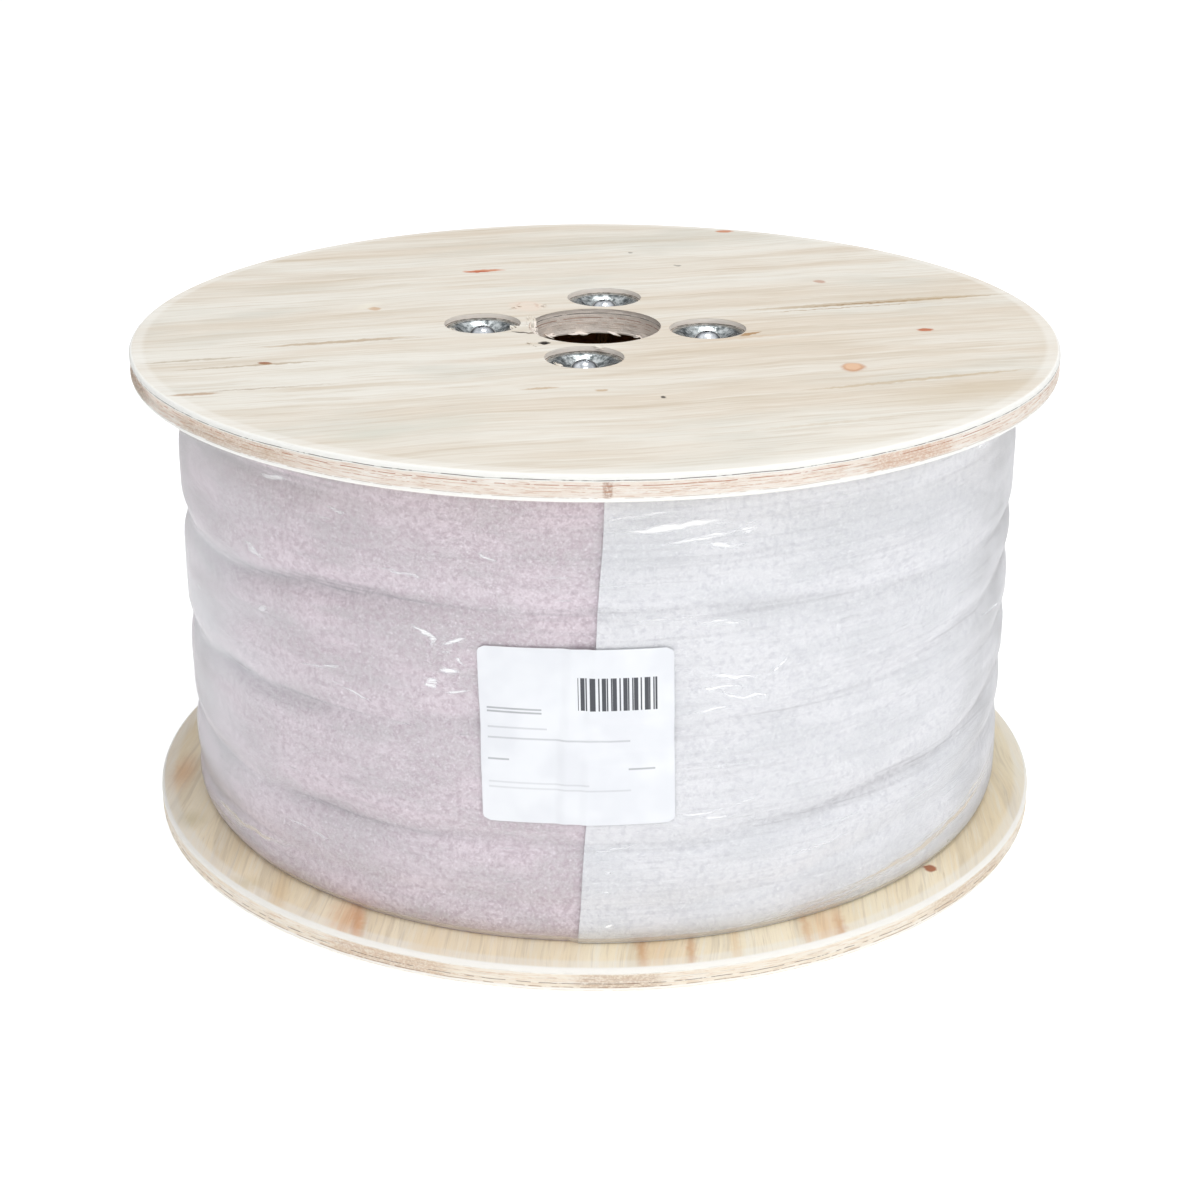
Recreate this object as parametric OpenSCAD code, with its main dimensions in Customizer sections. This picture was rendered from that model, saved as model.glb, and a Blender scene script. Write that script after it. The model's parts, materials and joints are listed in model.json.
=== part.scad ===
// Plywood cable drum with a full winding of cable.
//
// Two plywood flanges are drawn onto a cardboard barrel by four tie bolts, each with a sleeve nut at its
// lower end and a dished washer under each head. The cable is wound on the barrel and packed in a foam
// sheet, a stretch film and a paper label. The drum stands on its bottom flange, its axis on Z and its
// lowest face at Z 0. The front of the drum looks along -Y.

/* [Drum] */
// Diameter of both flanges
flange_d = 430; // [340:1:600]
// Height of the drum over both flanges
drum_h = 230; // [180:1:400]
// Thickness of the plywood of each flange
flange_t = 12; // [10:0.5:24]
// Rounding of the outer edges of a flange
edge_r = 2.5; // [0.5:0.1:4.5]
// Diameter of the arbor bore in each flange
bore_d = 62; // [40:1:80]
// Side of the square knot hole in the top flange
knot_side = 5; // [2:0.5:6]
// Wood left between the arbor bore and the knot hole
knot_web = 3; // [2:0.5:5]
// Angle of the knot hole, anticlockwise from +X as seen from above
knot_turn = -128; // [-140:1:-110]

/* [Barrel] */
// Outer diameter of the barrel that the cable is wound on
barrel_d = 200; // [165:1:240]
// Wall of the barrel
barrel_wall = 6; // [3:0.5:10]
// Depth of the groove in a flange that the end of the barrel stands in
groove_depth = 4; // [2:0.5:5]
// Clearance on each side of the barrel's wall in its groove
groove_clear = 0.3; // [0.1:0.05:1]

/* [Tie bolts] */
// Angle of the first bolt, anticlockwise from +X as seen from above
bolt_turn = -5; // [-45:1:45]
// Diameter of a bolt's shank
shank_d = 8; // [6:0.5:10]
// Wood left between the arbor bore and a washer's recess
bolt_web = 4; // [2:0.5:10]
// Diameter of the hole through a flange for a bolt or its nut
bolt_hole_d = 13.6; // [12.5:0.1:18]
// Diameter of the domed head of a bolt or a nut
head_d = 13; // [12:0.5:15]
// Height of that head
head_h = 4; // [3:0.1:5]
// Height of the straight rim under the dome of that head
head_rim_h = 0.8; // [0.4:0.1:1.5]
// Width of the cross recess in that head
cross_w = 7; // [4:0.5:8]
// Breadth of each slot of the cross recess
cross_slot = 1.6; // [1:0.1:2]
// Depth of the cross recess
cross_depth = 2.2; // [1:0.1:2.5]
// Outer diameter of a nut's sleeve
sleeve_d = 10.5; // [10:0.1:12]
// Length of a nut's sleeve under its head
sleeve_l = 28; // [16:1:40]
// Clearance all round between a bolt's shank and its nut
nut_clear = 0.15; // [0.1:0.05:0.5]
// Gap between a shank's tip and the closed end of its nut
tip_gap = 1; // [0.5:0.5:3]

/* [Dished washers] */
// Outer diameter of a washer
washer_d = 34.5; // [30:0.5:44]
// Thickness of a washer's sheet
washer_t = 1.2; // [0.8:0.1:2]
// Depth of a washer's dish
dish_depth = 3; // [1.5:0.1:4]
// Diameter of a washer's dish at its rim
dish_d = 27; // [25:0.5:29]
// Diameter of the flat at the bottom of the dish
dish_flat_d = 15.5; // [15.5:0.5:18]
// Depth of a washer's rim below the face of the flange
washer_drop = 2.3; // [1.5:0.1:4]
// Clearance all round a washer in its recess
recess_clear = 0.75; // [0.3:0.05:2]
// Clearance all round the dish in its seat
dish_clear = 0.2; // [0.1:0.05:0.5]
// Clearance all round a shank or a sleeve in its washer
washer_hole_clear = 0.3; // [0.2:0.05:1]

/* [Cable] */
// Diameter of the cable
cable_d = 6; // [4:0.5:12]
// Distance from the edge of a flange in to the winding
wind_margin = 23; // [15:1:60]
// Clearance between the winding and the barrel or a flange
wind_clear = 0.5; // [0.3:0.1:2]
// Height of the ridges that uneven winding leaves
ridge_h = 2.4; // [0:0.1:5]
// Spacing of those ridges
ridge_pitch = 44; // [25:1:80]

/* [Packing] */
// Thickness of the foam sheet
foam_t = 2; // [1:0.1:4]
// Clearance between the foam and the winding
foam_clear = 0.3; // [0.2:0.05:1]
// Angle of the foam's outer edge, anticlockwise from +X as seen from above
foam_edge = -90.4; // [-180:0.1:180]
// Angle over which the foam lies in two layers
foam_lap = 150; // [60:5:300]
// Gap between the packing and each flange
pack_gap = 0.8; // [0.3:0.1:3]
// Thickness of the stretch film over the foam
film_t = 0.3; // [0.2:0.05:1]
// Clearance between the film and the foam
film_clear = 0.1; // [0.05:0.05:0.5]

/* [Label] */
// Width of the paper label, round the drum
label_w = 80; // [40:1:120]
// Height of the label
label_h = 79; // [40:1:120]
// Thickness of the label
label_t = 0.2; // [0.15:0.05:0.5]
// Angle from the foam's outer edge to the middle of the label
label_turn = -1.8; // [-6:0.1:6]
// Height of the label's middle below the middle of the drum
label_drop = 5; // [-20:1:20]
// Clearance between the label and the film
label_clear = 0.05; // [0.05:0.05:0.5]

/* [Hidden] */
$fn = 96;

// Number of tie bolts
bolt_n = 4;
// Depth by which a cut runs past a face
cut = 1;
// Points on each rounded edge of a flange
edge_steps = 4;
// Half of the arc that each turn of cable shows on the winding
turn_arc = 45;
// Sides of the outline of a sector
sector_steps = 12;

bore_r = bore_d / 2;
barrel_r = barrel_d / 2;
recess_d = washer_d + 2 * recess_clear;
bolt_r = bore_r + bolt_web + recess_d / 2;

// Depths below a flange's outer face
recess_depth = washer_drop + washer_t;
seat_depth = washer_drop + dish_depth;

wind_r = flange_d / 2 - wind_margin;
wind_lo = flange_t + wind_clear;
wind_hi = drum_h - flange_t - wind_clear;
wind_bore_r = barrel_r + wind_clear;
turns = floor((wind_hi - wind_lo) / cable_d);
turn_pitch = (wind_hi - wind_lo) / turns;
layers = floor((wind_r - ridge_h - wind_bore_r) / cable_d);

pack_lo = flange_t + pack_gap;
pack_hi = drum_h - flange_t - pack_gap;

foam_bore_r = wind_r + foam_clear;
foam_r = foam_bore_r + foam_t;
// Distances outside the foam at which the film and the label begin and end
film_in = film_clear;
film_out = film_in + film_t;
label_in = film_out + label_clear;
label_out = label_in + label_t;
label_mid = drum_h / 2 - label_drop;

// Radius of the winding's outline at height z: ridges that fade towards the flanges
function wind_outline(z) =
    let (s = (z - wind_lo) / (wind_hi - wind_lo))
    let (wave = 0.5 - 0.5 * cos(360 * (z - wind_lo) / ridge_pitch))
    wind_r - ridge_h * (1 - wave * sqrt(max(0, sin(180 * min(1, max(0, s))))));

// Angle in degrees that a length takes up round the winding
function arc_angle(length) = length / wind_r * 180 / PI;

// Places four like pieces on the bolt circle
module at_bolt(i) {
    rotate([0, 0, bolt_turn + 360 / bolt_n * (i - 1)])
        translate([bolt_r, 0, 0])
            children();
}

// Turns a piece that is drawn for the top flange over onto the bottom flange
module at_bottom() {
    translate([0, 0, drum_h])
        mirror([0, 0, 1])
            children();
}

// Outline of a flange with rounded outer edges, from its inner face up
module flange_outline() {
    edge_x = flange_d / 2 - edge_r;
    lower = [for (i = [0 : edge_steps])
        let (a = -90 + 90 * i / edge_steps)
        [edge_x + edge_r * cos(a), edge_r + edge_r * sin(a)]];
    upper = [for (i = [0 : edge_steps])
        let (a = 90 * i / edge_steps)
        [edge_x + edge_r * cos(a), flange_t - edge_r + edge_r * sin(a)]];
    polygon(concat([[0, 0]], lower, upper, [[0, flange_t]]));
}

// Recess, dish seat and through hole for one bolt, cut from the top flange
module bolt_cut() {
    translate([0, 0, drum_h - recess_depth])
        cylinder(d = recess_d, h = recess_depth + cut);
    translate([0, 0, drum_h - seat_depth - washer_t])
        cylinder(d1 = dish_flat_d + 2 * dish_clear, d2 = dish_d + 2 * dish_clear, h = dish_depth);
    translate([0, 0, drum_h - flange_t - cut])
        cylinder(d = bolt_hole_d, h = flange_t + 2 * cut);
}

// Groove for the end of the barrel, in the inner face of the top flange
module barrel_groove() {
    translate([0, 0, drum_h - flange_t - cut])
        difference() {
            cylinder(r = barrel_r + groove_clear, h = groove_depth + cut);
            translate([0, 0, -cut])
                cylinder(r = barrel_r - barrel_wall - groove_clear, h = groove_depth + 3 * cut);
        }
}

module flange_disc() {
    difference() {
        translate([0, 0, drum_h - flange_t])
            rotate_extrude()
                flange_outline();
        translate([0, 0, drum_h - flange_t - cut])
            cylinder(d = bore_d, h = flange_t + 2 * cut);
        barrel_groove();
        for (i = [1 : bolt_n])
            at_bolt(i)
                bolt_cut();
    }
}

// Hole that a lost knot leaves beside the bore, its corners along X and Y
module knot_hole() {
    knot_r = bore_r + knot_web + knot_side / sqrt(2);
    rotate([0, 0, knot_turn])
        translate([knot_r, 0, drum_h - flange_t - cut])
            rotate([0, 0, 45 - knot_turn])
                translate([-knot_side / 2, -knot_side / 2, 0])
                    cube([knot_side, knot_side, flange_t + 2 * cut]);
}

module flange_top() {
    color("wheat")
        difference() {
            flange_disc();
            knot_hole();
        }
}

module flange_bottom() {
    color("burlywood")
        at_bottom()
            flange_disc();
}

module barrel() {
    lo = flange_t - groove_depth;
    hi = drum_h - lo;
    color("peru")
        translate([0, 0, lo])
            difference() {
                cylinder(r = barrel_r, h = hi - lo);
                translate([0, 0, -cut])
                    cylinder(r = barrel_r - barrel_wall, h = hi - lo + 2 * cut);
            }
}

// Domed head with a cross recess, its flat underside at Z 0
module domed_head() {
    dome_h = head_h - head_rim_h;
    dome_r = (dome_h * dome_h + head_d * head_d / 4) / (2 * dome_h);
    difference() {
        intersection() {
            cylinder(d = head_d, h = head_h);
            translate([0, 0, head_h - dome_r])
                sphere(r = dome_r);
        }
        for (a = [45, 135])
            rotate([0, 0, a])
                translate([-cross_w / 2, -cross_slot / 2, head_h - cross_depth])
                    cube([cross_w, cross_slot, cross_depth + cut]);
    }
}

module tie_bolt(i) {
    seat = drum_h - seat_depth;
    tip = seat_depth + tip_gap;
    color("silver")
        at_bolt(i) {
            translate([0, 0, seat])
                domed_head();
            translate([0, 0, tip])
                cylinder(d = shank_d, h = seat - tip);
        }
}

module sleeve_nut(i) {
    color("silver")
        at_bottom()
            at_bolt(i)
                translate([0, 0, drum_h - seat_depth])
                    difference() {
                        union() {
                            domed_head();
                            translate([0, 0, -sleeve_l])
                                cylinder(d = sleeve_d, h = sleeve_l);
                        }
                        translate([0, 0, -sleeve_l - cut])
                            cylinder(d = shank_d + 2 * nut_clear, h = sleeve_l + cut);
                    }
}

// Dished washer of even thickness, its rim's upper face at the drop below the top flange's face
module dish_washer(i, hole_d) {
    rim = drum_h - washer_drop;
    floor_z = rim - dish_depth;
    outline = [
        [hole_d / 2, floor_z],
        [dish_flat_d / 2, floor_z],
        [dish_d / 2, rim],
        [washer_d / 2, rim],
        [washer_d / 2, rim - washer_t],
        [dish_d / 2, rim - washer_t],
        [dish_flat_d / 2, floor_z - washer_t],
        [hole_d / 2, floor_z - washer_t],
    ];
    color("lightgray")
        at_bolt(i)
            rotate_extrude()
                polygon(outline);
}

module washer_top(i) {
    dish_washer(i, shank_d + 2 * washer_hole_clear);
}

module washer_bottom(i) {
    at_bottom()
        dish_washer(i, sleeve_d + 2 * washer_hole_clear);
}

// The whole winding as one turned body, with the round of each turn on its outside and each layer on its ends
module cable_coil() {
    cable_r = cable_d / 2;
    first = wind_lo + turn_pitch / 2;
    last = wind_hi - turn_pitch / 2;
    layer_pitch = (wind_outline(first) - wind_bore_r) / layers;
    arc = [-turn_arc, 0, turn_arc];
    low_end = [for (j = [0 : layers - 1], a = arc)
        [wind_bore_r + (j + 0.5) * layer_pitch + cable_r * sin(a), first - cable_r * cos(a)]];
    outside = [for (i = [0 : turns - 1], a = arc)
        let (z = first + i * turn_pitch)
        [wind_outline(z) - cable_r + cable_r * cos(a), z + cable_r * sin(a)]];
    high_end = [for (j = [0 : layers - 1], a = arc)
        let (k = layers - 1 - j)
        [wind_bore_r + (k + 0.5) * layer_pitch - cable_r * sin(a), last + cable_r * cos(a)]];
    color("firebrick")
        rotate_extrude()
            polygon(concat([[wind_bore_r, first]], low_end, outside, high_end, [[wind_bore_r, last]]));
}

// Sector of a circle about Z that reaches past the flanges
module sector(start, sweep) {
    rim = [for (i = [0 : sector_steps])
        let (a = start + sweep * i / sector_steps)
        [flange_d * cos(a), flange_d * sin(a)]];
    polygon(concat([[0, 0]], rim));
}

// Plan of all that lies within a distance outside the foam, which is double over its lap and single elsewhere
module packed_plan(outside) {
    turn = arc_angle(outside);
    circle(r = foam_r + outside);
    intersection() {
        circle(r = foam_r + foam_t + outside);
        sector(foam_edge - turn, foam_lap + 2 * turn);
    }
}

// Plan of a skin that lies on the foam between two distances outside it
module skin_plan(inner, outer) {
    difference() {
        packed_plan(outer);
        packed_plan(inner);
    }
}

// Raises a plan between two heights
module raised(lo, hi) {
    translate([0, 0, lo])
        linear_extrude(height = hi - lo)
            children();
}

// One sheet, which ends under its own lap
module foam_wrap() {
    color("lavender")
        raised(pack_lo, pack_hi)
            difference() {
                packed_plan(0);
                circle(r = foam_bore_r);
            }
}

module stretch_film() {
    color("azure")
        raised(pack_lo, pack_hi)
            skin_plan(film_in, film_out);
}

module label() {
    sweep = arc_angle(label_w);
    color("white")
        raised(label_mid - label_h / 2, label_mid + label_h / 2)
            intersection() {
                skin_plan(label_in, label_out);
                sector(foam_edge + label_turn - sweep / 2, sweep);
            }
}

flange_top();
flange_bottom();
barrel();
tie_bolt(1);  // tie_bolt_1
tie_bolt(2);  // tie_bolt_2
tie_bolt(3);  // tie_bolt_3
tie_bolt(4);  // tie_bolt_4
sleeve_nut(1);  // sleeve_nut_1
sleeve_nut(2);  // sleeve_nut_2
sleeve_nut(3);  // sleeve_nut_3
sleeve_nut(4);  // sleeve_nut_4
washer_top(1);  // washer_top_1
washer_top(2);  // washer_top_2
washer_top(3);  // washer_top_3
washer_top(4);  // washer_top_4
washer_bottom(1);  // washer_bottom_1
washer_bottom(2);  // washer_bottom_2
washer_bottom(3);  // washer_bottom_3
washer_bottom(4);  // washer_bottom_4
cable_coil();
foam_wrap();
stretch_film();
label();
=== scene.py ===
# %% [markdown]
# # A plywood cable drum
#
# Two plywood discs are drawn onto a cardboard barrel by four tie bolts. The cable on the barrel is packed
# in a foam sheet, a stretch film and a label. The construction comes in as a fixed frame, and this lesson
# adds the looks: rough plywood edges, bright washers, soft foam with a wrinkled film, and a paper label.

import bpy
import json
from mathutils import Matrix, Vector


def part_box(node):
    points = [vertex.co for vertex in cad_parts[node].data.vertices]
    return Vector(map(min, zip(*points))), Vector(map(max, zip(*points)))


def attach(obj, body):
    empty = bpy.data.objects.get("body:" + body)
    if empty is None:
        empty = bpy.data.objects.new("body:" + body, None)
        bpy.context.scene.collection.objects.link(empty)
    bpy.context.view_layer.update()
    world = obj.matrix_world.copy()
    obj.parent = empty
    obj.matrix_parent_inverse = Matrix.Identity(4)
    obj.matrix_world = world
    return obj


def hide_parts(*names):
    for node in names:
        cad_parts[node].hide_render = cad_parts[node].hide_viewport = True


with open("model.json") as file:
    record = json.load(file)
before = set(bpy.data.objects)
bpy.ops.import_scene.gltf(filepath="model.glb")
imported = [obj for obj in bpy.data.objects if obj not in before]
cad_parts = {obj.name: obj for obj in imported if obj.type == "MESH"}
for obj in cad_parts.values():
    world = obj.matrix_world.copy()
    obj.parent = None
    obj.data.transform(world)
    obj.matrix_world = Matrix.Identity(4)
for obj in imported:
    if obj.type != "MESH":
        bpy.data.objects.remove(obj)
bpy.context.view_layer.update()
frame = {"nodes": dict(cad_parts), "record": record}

# %% [markdown]
# Every size below is read from the frame or follows from it. A few more are named here, such as the
# thickness of one ply, because the frame has only whole pieces. All lengths are in metres, so `MM` turns a
# size in millimetres into metres.

# %% Driving sizes
import json
import math

import bpy
from mathutils import Vector, noise

MM = 0.001

top_low, top_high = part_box("flange_top")
bottom_low, bottom_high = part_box("flange_bottom")
flange_r = top_high.x
flange_t = top_high.z - top_low.z
flange_edge_r = 2.5 * MM
plies = 5
ply_t = flange_t / plies

arbor = next(m for m in frame["record"]["mounts"] if m["name"] == "arbor_bore")
bore_r = arbor["dims"]["r_mm"] * MM

bolts = range(1, 5)
washer_low, washer_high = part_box("washer_top_1")
washer_r = (washer_high.x - washer_low.x) / 2
washer_rim_z = washer_high.z
washer_t = 1.2 * MM
dish_depth = 3.0 * MM
recess_clear = 0.75 * MM
recess_r = washer_r + recess_clear
bolt_places = [(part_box(f"washer_top_{i}")[0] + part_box(f"washer_top_{i}")[1]) / 2 for i in bolts]
holes_r = 76 * MM
print("flange radius", round(flange_r, 4), "ply", round(ply_t, 4), "bolts at",
      [(round(p.x, 4), round(p.y, 4)) for p in bolt_places])

# %% [markdown]
# The camera comes first. It stands in front of the drum and a little above it, and looks down by 22
# degrees. A long lens keeps the two flanges near their true proportions.

# %% Camera
camera_data = bpy.data.cameras.new("camera")
camera_data.lens = 69.27
camera_data.sensor_width = 36
camera_data.shift_x = 0.0044
camera = bpy.data.objects.new("camera", camera_data)
camera.location = (0, -1.0515, 0.5166)
camera.rotation_euler = (math.radians(67.98), 0, 0)
bpy.context.scene.collection.objects.link(camera)
bpy.context.scene.camera = camera
print("camera at", tuple(camera.location))

# %% [markdown]
# ## Tools for modelling
#
# An operator acts on all that is selected, and the frame's own pieces arrive selected. So each step first
# selects just the piece that it works on. `pick` chooses vertices, edges or faces by a rule on their places,
# which is the same as clicking them one by one, and leaves the piece in edit mode.

# %% Selecting
def only(piece):
    """Makes a piece the only selected one and the active one."""
    bpy.ops.object.select_all(action="DESELECT")
    piece.select_set(True)
    bpy.context.view_layer.objects.active = piece
    return piece


def pick(piece, kind, rule):
    """Selects the vertices, edges or faces whose corners fit a rule, in edit mode."""
    only(piece)
    bpy.ops.object.mode_set(mode="EDIT")
    bpy.ops.mesh.select_mode(type=kind)
    bpy.ops.mesh.select_all(action="DESELECT")
    bpy.ops.object.mode_set(mode="OBJECT")
    mesh = piece.data
    points = [vertex.co for vertex in mesh.vertices]
    if kind == "VERT":
        for vertex in mesh.vertices:
            vertex.select = rule([vertex.co])
    else:
        for part in mesh.edges if kind == "EDGE" else mesh.polygons:
            part.select = rule([points[i] for i in part.vertices])
    bpy.ops.object.mode_set(mode="EDIT")


def leave(piece):
    """Leaves edit mode and brings the piece's place into its mesh."""
    bpy.ops.object.mode_set(mode="OBJECT")
    only(piece)
    bpy.ops.object.transform_apply(location=True, rotation=True, scale=True)
    return piece


def leave_as(piece, name):
    """Names a piece and leaves edit mode."""
    piece.name = piece.data.name = name
    return leave(piece)


def apply_modifier(piece, kind, **settings):
    """Adds one modifier, sets it and applies it."""
    only(piece)
    modifier = piece.modifiers.new(kind.lower(), kind)
    for name, value in settings.items():
        setattr(modifier, name, value)
    bpy.ops.object.modifier_apply(modifier=modifier.name)
    return piece


def cut_away(piece, cutter):
    """Cuts a tool's shape out of a piece and throws the tool away."""
    apply_modifier(piece, "BOOLEAN", operation="DIFFERENCE", solver="EXACT", object=cutter)
    bpy.data.objects.remove(cutter)
    return piece


def smooth(piece, angle=35):
    only(piece)
    bpy.ops.object.shade_smooth_by_angle(angle=math.radians(angle))
    return piece


# %% [markdown]
# Many pieces here are round, so one tool turns them. It starts from a circle, as a potter starts from a
# base, and extrudes the ring step by step through a list of radius and height. A profile that comes back to
# its first point is a closed ring, such as a washer.

# %% Turning round pieces
def turned(name, profile, sides=96):
    """A piece turned round Z through a profile of (radius, height) pairs."""
    radius, height = profile[0]
    bpy.ops.object.select_all(action="DESELECT")
    bpy.ops.mesh.primitive_circle_add(vertices=sides, radius=radius, location=(0, 0, height))
    piece = bpy.context.object
    piece.name = piece.data.name = name
    bpy.ops.object.mode_set(mode="EDIT")
    bpy.ops.mesh.select_mode(type="EDGE")
    bpy.ops.mesh.select_all(action="SELECT")
    for next_radius, next_height in profile[1:]:
        share = next_radius / radius
        bpy.ops.mesh.extrude_region_move(TRANSFORM_OT_translate={"value": (0, 0, next_height - height)})
        bpy.ops.transform.resize(value=(share, share, 1), center_override=(0, 0, 0))
        radius, height = next_radius, next_height
    bpy.ops.mesh.select_all(action="SELECT")
    bpy.ops.mesh.remove_doubles(threshold=0.001 * MM)
    bpy.ops.mesh.select_all(action="DESELECT")
    bpy.ops.mesh.select_mode(type="EDGE")
    bpy.ops.mesh.select_non_manifold(extend=False)
    bpy.ops.mesh.fill_holes(sides=0)
    bpy.ops.mesh.select_all(action="SELECT")
    bpy.ops.mesh.normals_make_consistent(inside=False)
    return leave(piece)


def arc(centre, radius, start, end, steps):
    """Points on an arc in a profile, its angles in degrees from the radius axis."""
    angles = [math.radians(start + (end - start) * i / steps) for i in range(steps + 1)]
    return [(centre[0] + radius * math.cos(a), centre[1] + radius * math.sin(a)) for a in angles]


def placed_copy(piece, name, place, upside_down=False):
    """A copy with its own mesh, moved to its place in the drum."""
    only(piece)
    bpy.ops.object.duplicate()
    copy = bpy.context.object
    copy.name = copy.data.name = name
    if upside_down:
        copy.rotation_euler = (math.pi, 0, 0)
    copy.location = place
    bpy.ops.object.transform_apply(location=True, rotation=True, scale=True)
    return copy


def finished(piece, slot, *nodes):
    """Says what a piece stands for: its body and the nodes that it replaces. Its slot is not used."""
    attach(piece, "root")
    if nodes:
        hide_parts(*nodes)
    print(piece.name, len(piece.data.polygons), "faces")
    return piece


# %% [markdown]
# ## Tools for materials
#
# A material is arithmetic on the place of a point. Written as Math nodes it is hard to read, so a small
# class wraps a socket and lets Python's operators add the nodes. Its one method `node` adds any other kind.

# %% Arithmetic on sockets
class Flow:
    """A socket in a material's node tree."""

    def __init__(self, tree, socket=None):
        self.tree = tree
        self.socket = socket

    def node(self, kind, settings=None, inputs=None, out=0):
        """Adds a node: first its settings, then the values or links of its sockets."""
        made = self.tree.nodes.new("ShaderNode" + kind)
        for name, value in (settings or {}).items():
            setattr(made, name, value)
        for key, value in (inputs or {}).items():
            if isinstance(value, Flow):
                self.tree.links.new(value.socket, made.inputs[key])
            else:
                made.inputs[key].default_value = value
        return Flow(self.tree, made.outputs[out])

    def math(self, operation, *others):
        return self.node("Math", {"operation": operation}, dict(enumerate((self, *others))))

    def __add__(self, other):
        return self.math("ADD", other)

    def __radd__(self, other):
        return self.math("ADD", other)

    def __sub__(self, other):
        return self.math("SUBTRACT", other)

    def __rsub__(self, other):
        return self.node("Math", {"operation": "SUBTRACT"}, {0: other, 1: self})

    def __mul__(self, other):
        return self.math("MULTIPLY", other)

    def __rmul__(self, other):
        return self.math("MULTIPLY", other)

    def __truediv__(self, other):
        return self.math("DIVIDE", other)

    def __pow__(self, other):
        return self.math("POWER", other)

    def __abs__(self):
        return self.math("ABSOLUTE")


def most(first, *others):
    """The highest of several values, for masks that lie over each other."""
    for other in others:
        first = first.math("MAXIMUM", other)
    return first


def step(value, low, high, first=0.0, last=1.0):
    """Goes smoothly from first to last as the value goes from low to high."""
    return value.node(
        "MapRange",
        {"interpolation_type": "SMOOTHSTEP"},
        {"Value": value, "From Min": low, "From Max": high, "To Min": first, "To Max": last},
    )


def shade(red, green, blue):
    """A colour as a screen shows it, 0 to 255, turned to the linear values that a shader uses."""
    linear = [((c / 255 + 0.055) / 1.055) ** 2.4 if c > 10 else c / 255 / 12.92 for c in (red, green, blue)]
    return (*linear, 1.0)


def tint(share, first, second, how="MIX"):
    """Goes from a first colour to a second one by a share."""
    return share.node("Mix", {"data_type": "RGBA", "blend_type": how}, {0: share, 6: first, 7: second}, out=2)


# %% Places and patterns
def new_material(name):
    """A material, its Principled shader, and the place of each point in metres."""
    material = bpy.data.materials.new(name)
    material.use_nodes = True
    tree = material.node_tree
    shader = tree.nodes["Principled BSDF"]
    place = Flow(tree).node("TexCoord", out=3)
    return material, shader, place


def feed(flow, shader, name):
    flow.tree.links.new(flow.socket, shader.inputs[name])


def along(place, axis):
    """One of the three numbers of a place."""
    return place.node("SeparateXYZ", {}, {0: place}, out="XYZ".index(axis))


def patches(place, size, detail=3.0, roughness=0.5, seed=0.0):
    """Noise from 0 to 1 whose patches measure about the size, given in metres on each axis."""
    scaled = place.node("Mapping", {"vector_type": "TEXTURE"}, {0: place, 1: (seed, seed, seed), 3: size})
    return place.node(
        "TexNoise",
        {"noise_dimensions": "3D"},
        {"Vector": scaled, "Scale": 1.0, "Detail": detail, "Roughness": roughness},
    )


def spot(place, x, y, length, width, turn=0.0, soft=0.0):
    """A mask of an oval with those half-lengths: 1 in the middle, 0 from its rim outwards."""
    inside = place.node(
        "Mapping",
        {"vector_type": "TEXTURE"},
        {0: place, 1: (x, y, 0), 2: (0, 0, math.radians(turn)), 3: (length, width, 10)},
    )
    distance = place.node("VectorMath", {"operation": "LENGTH"}, {0: inside}, out=1)
    return step(distance, 1.0, soft)


def bump(shader, height, distance, strength=1.0):
    """Raises a surface by a height from 0 to 1 times a distance in metres."""
    raised = height.node("Bump", {}, {"Strength": strength, "Distance": distance, "Height": height})
    feed(raised, shader, "Normal")


# %% [markdown]
# ## Plywood
#
# A flange is five plies of pale softwood, glued with the grain crosswise. Its face shows long soft streaks
# and fine pores along the grain, a few knots and resin streaks. The routed edge cuts through all plies: the
# outer one is clean and nearly white, the inner ones are pink to brown and rougher, and dark broken lines
# of glue lie between. So the material asks how deep a point lies below the face, and which way the grain of
# that ply runs there.

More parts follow.
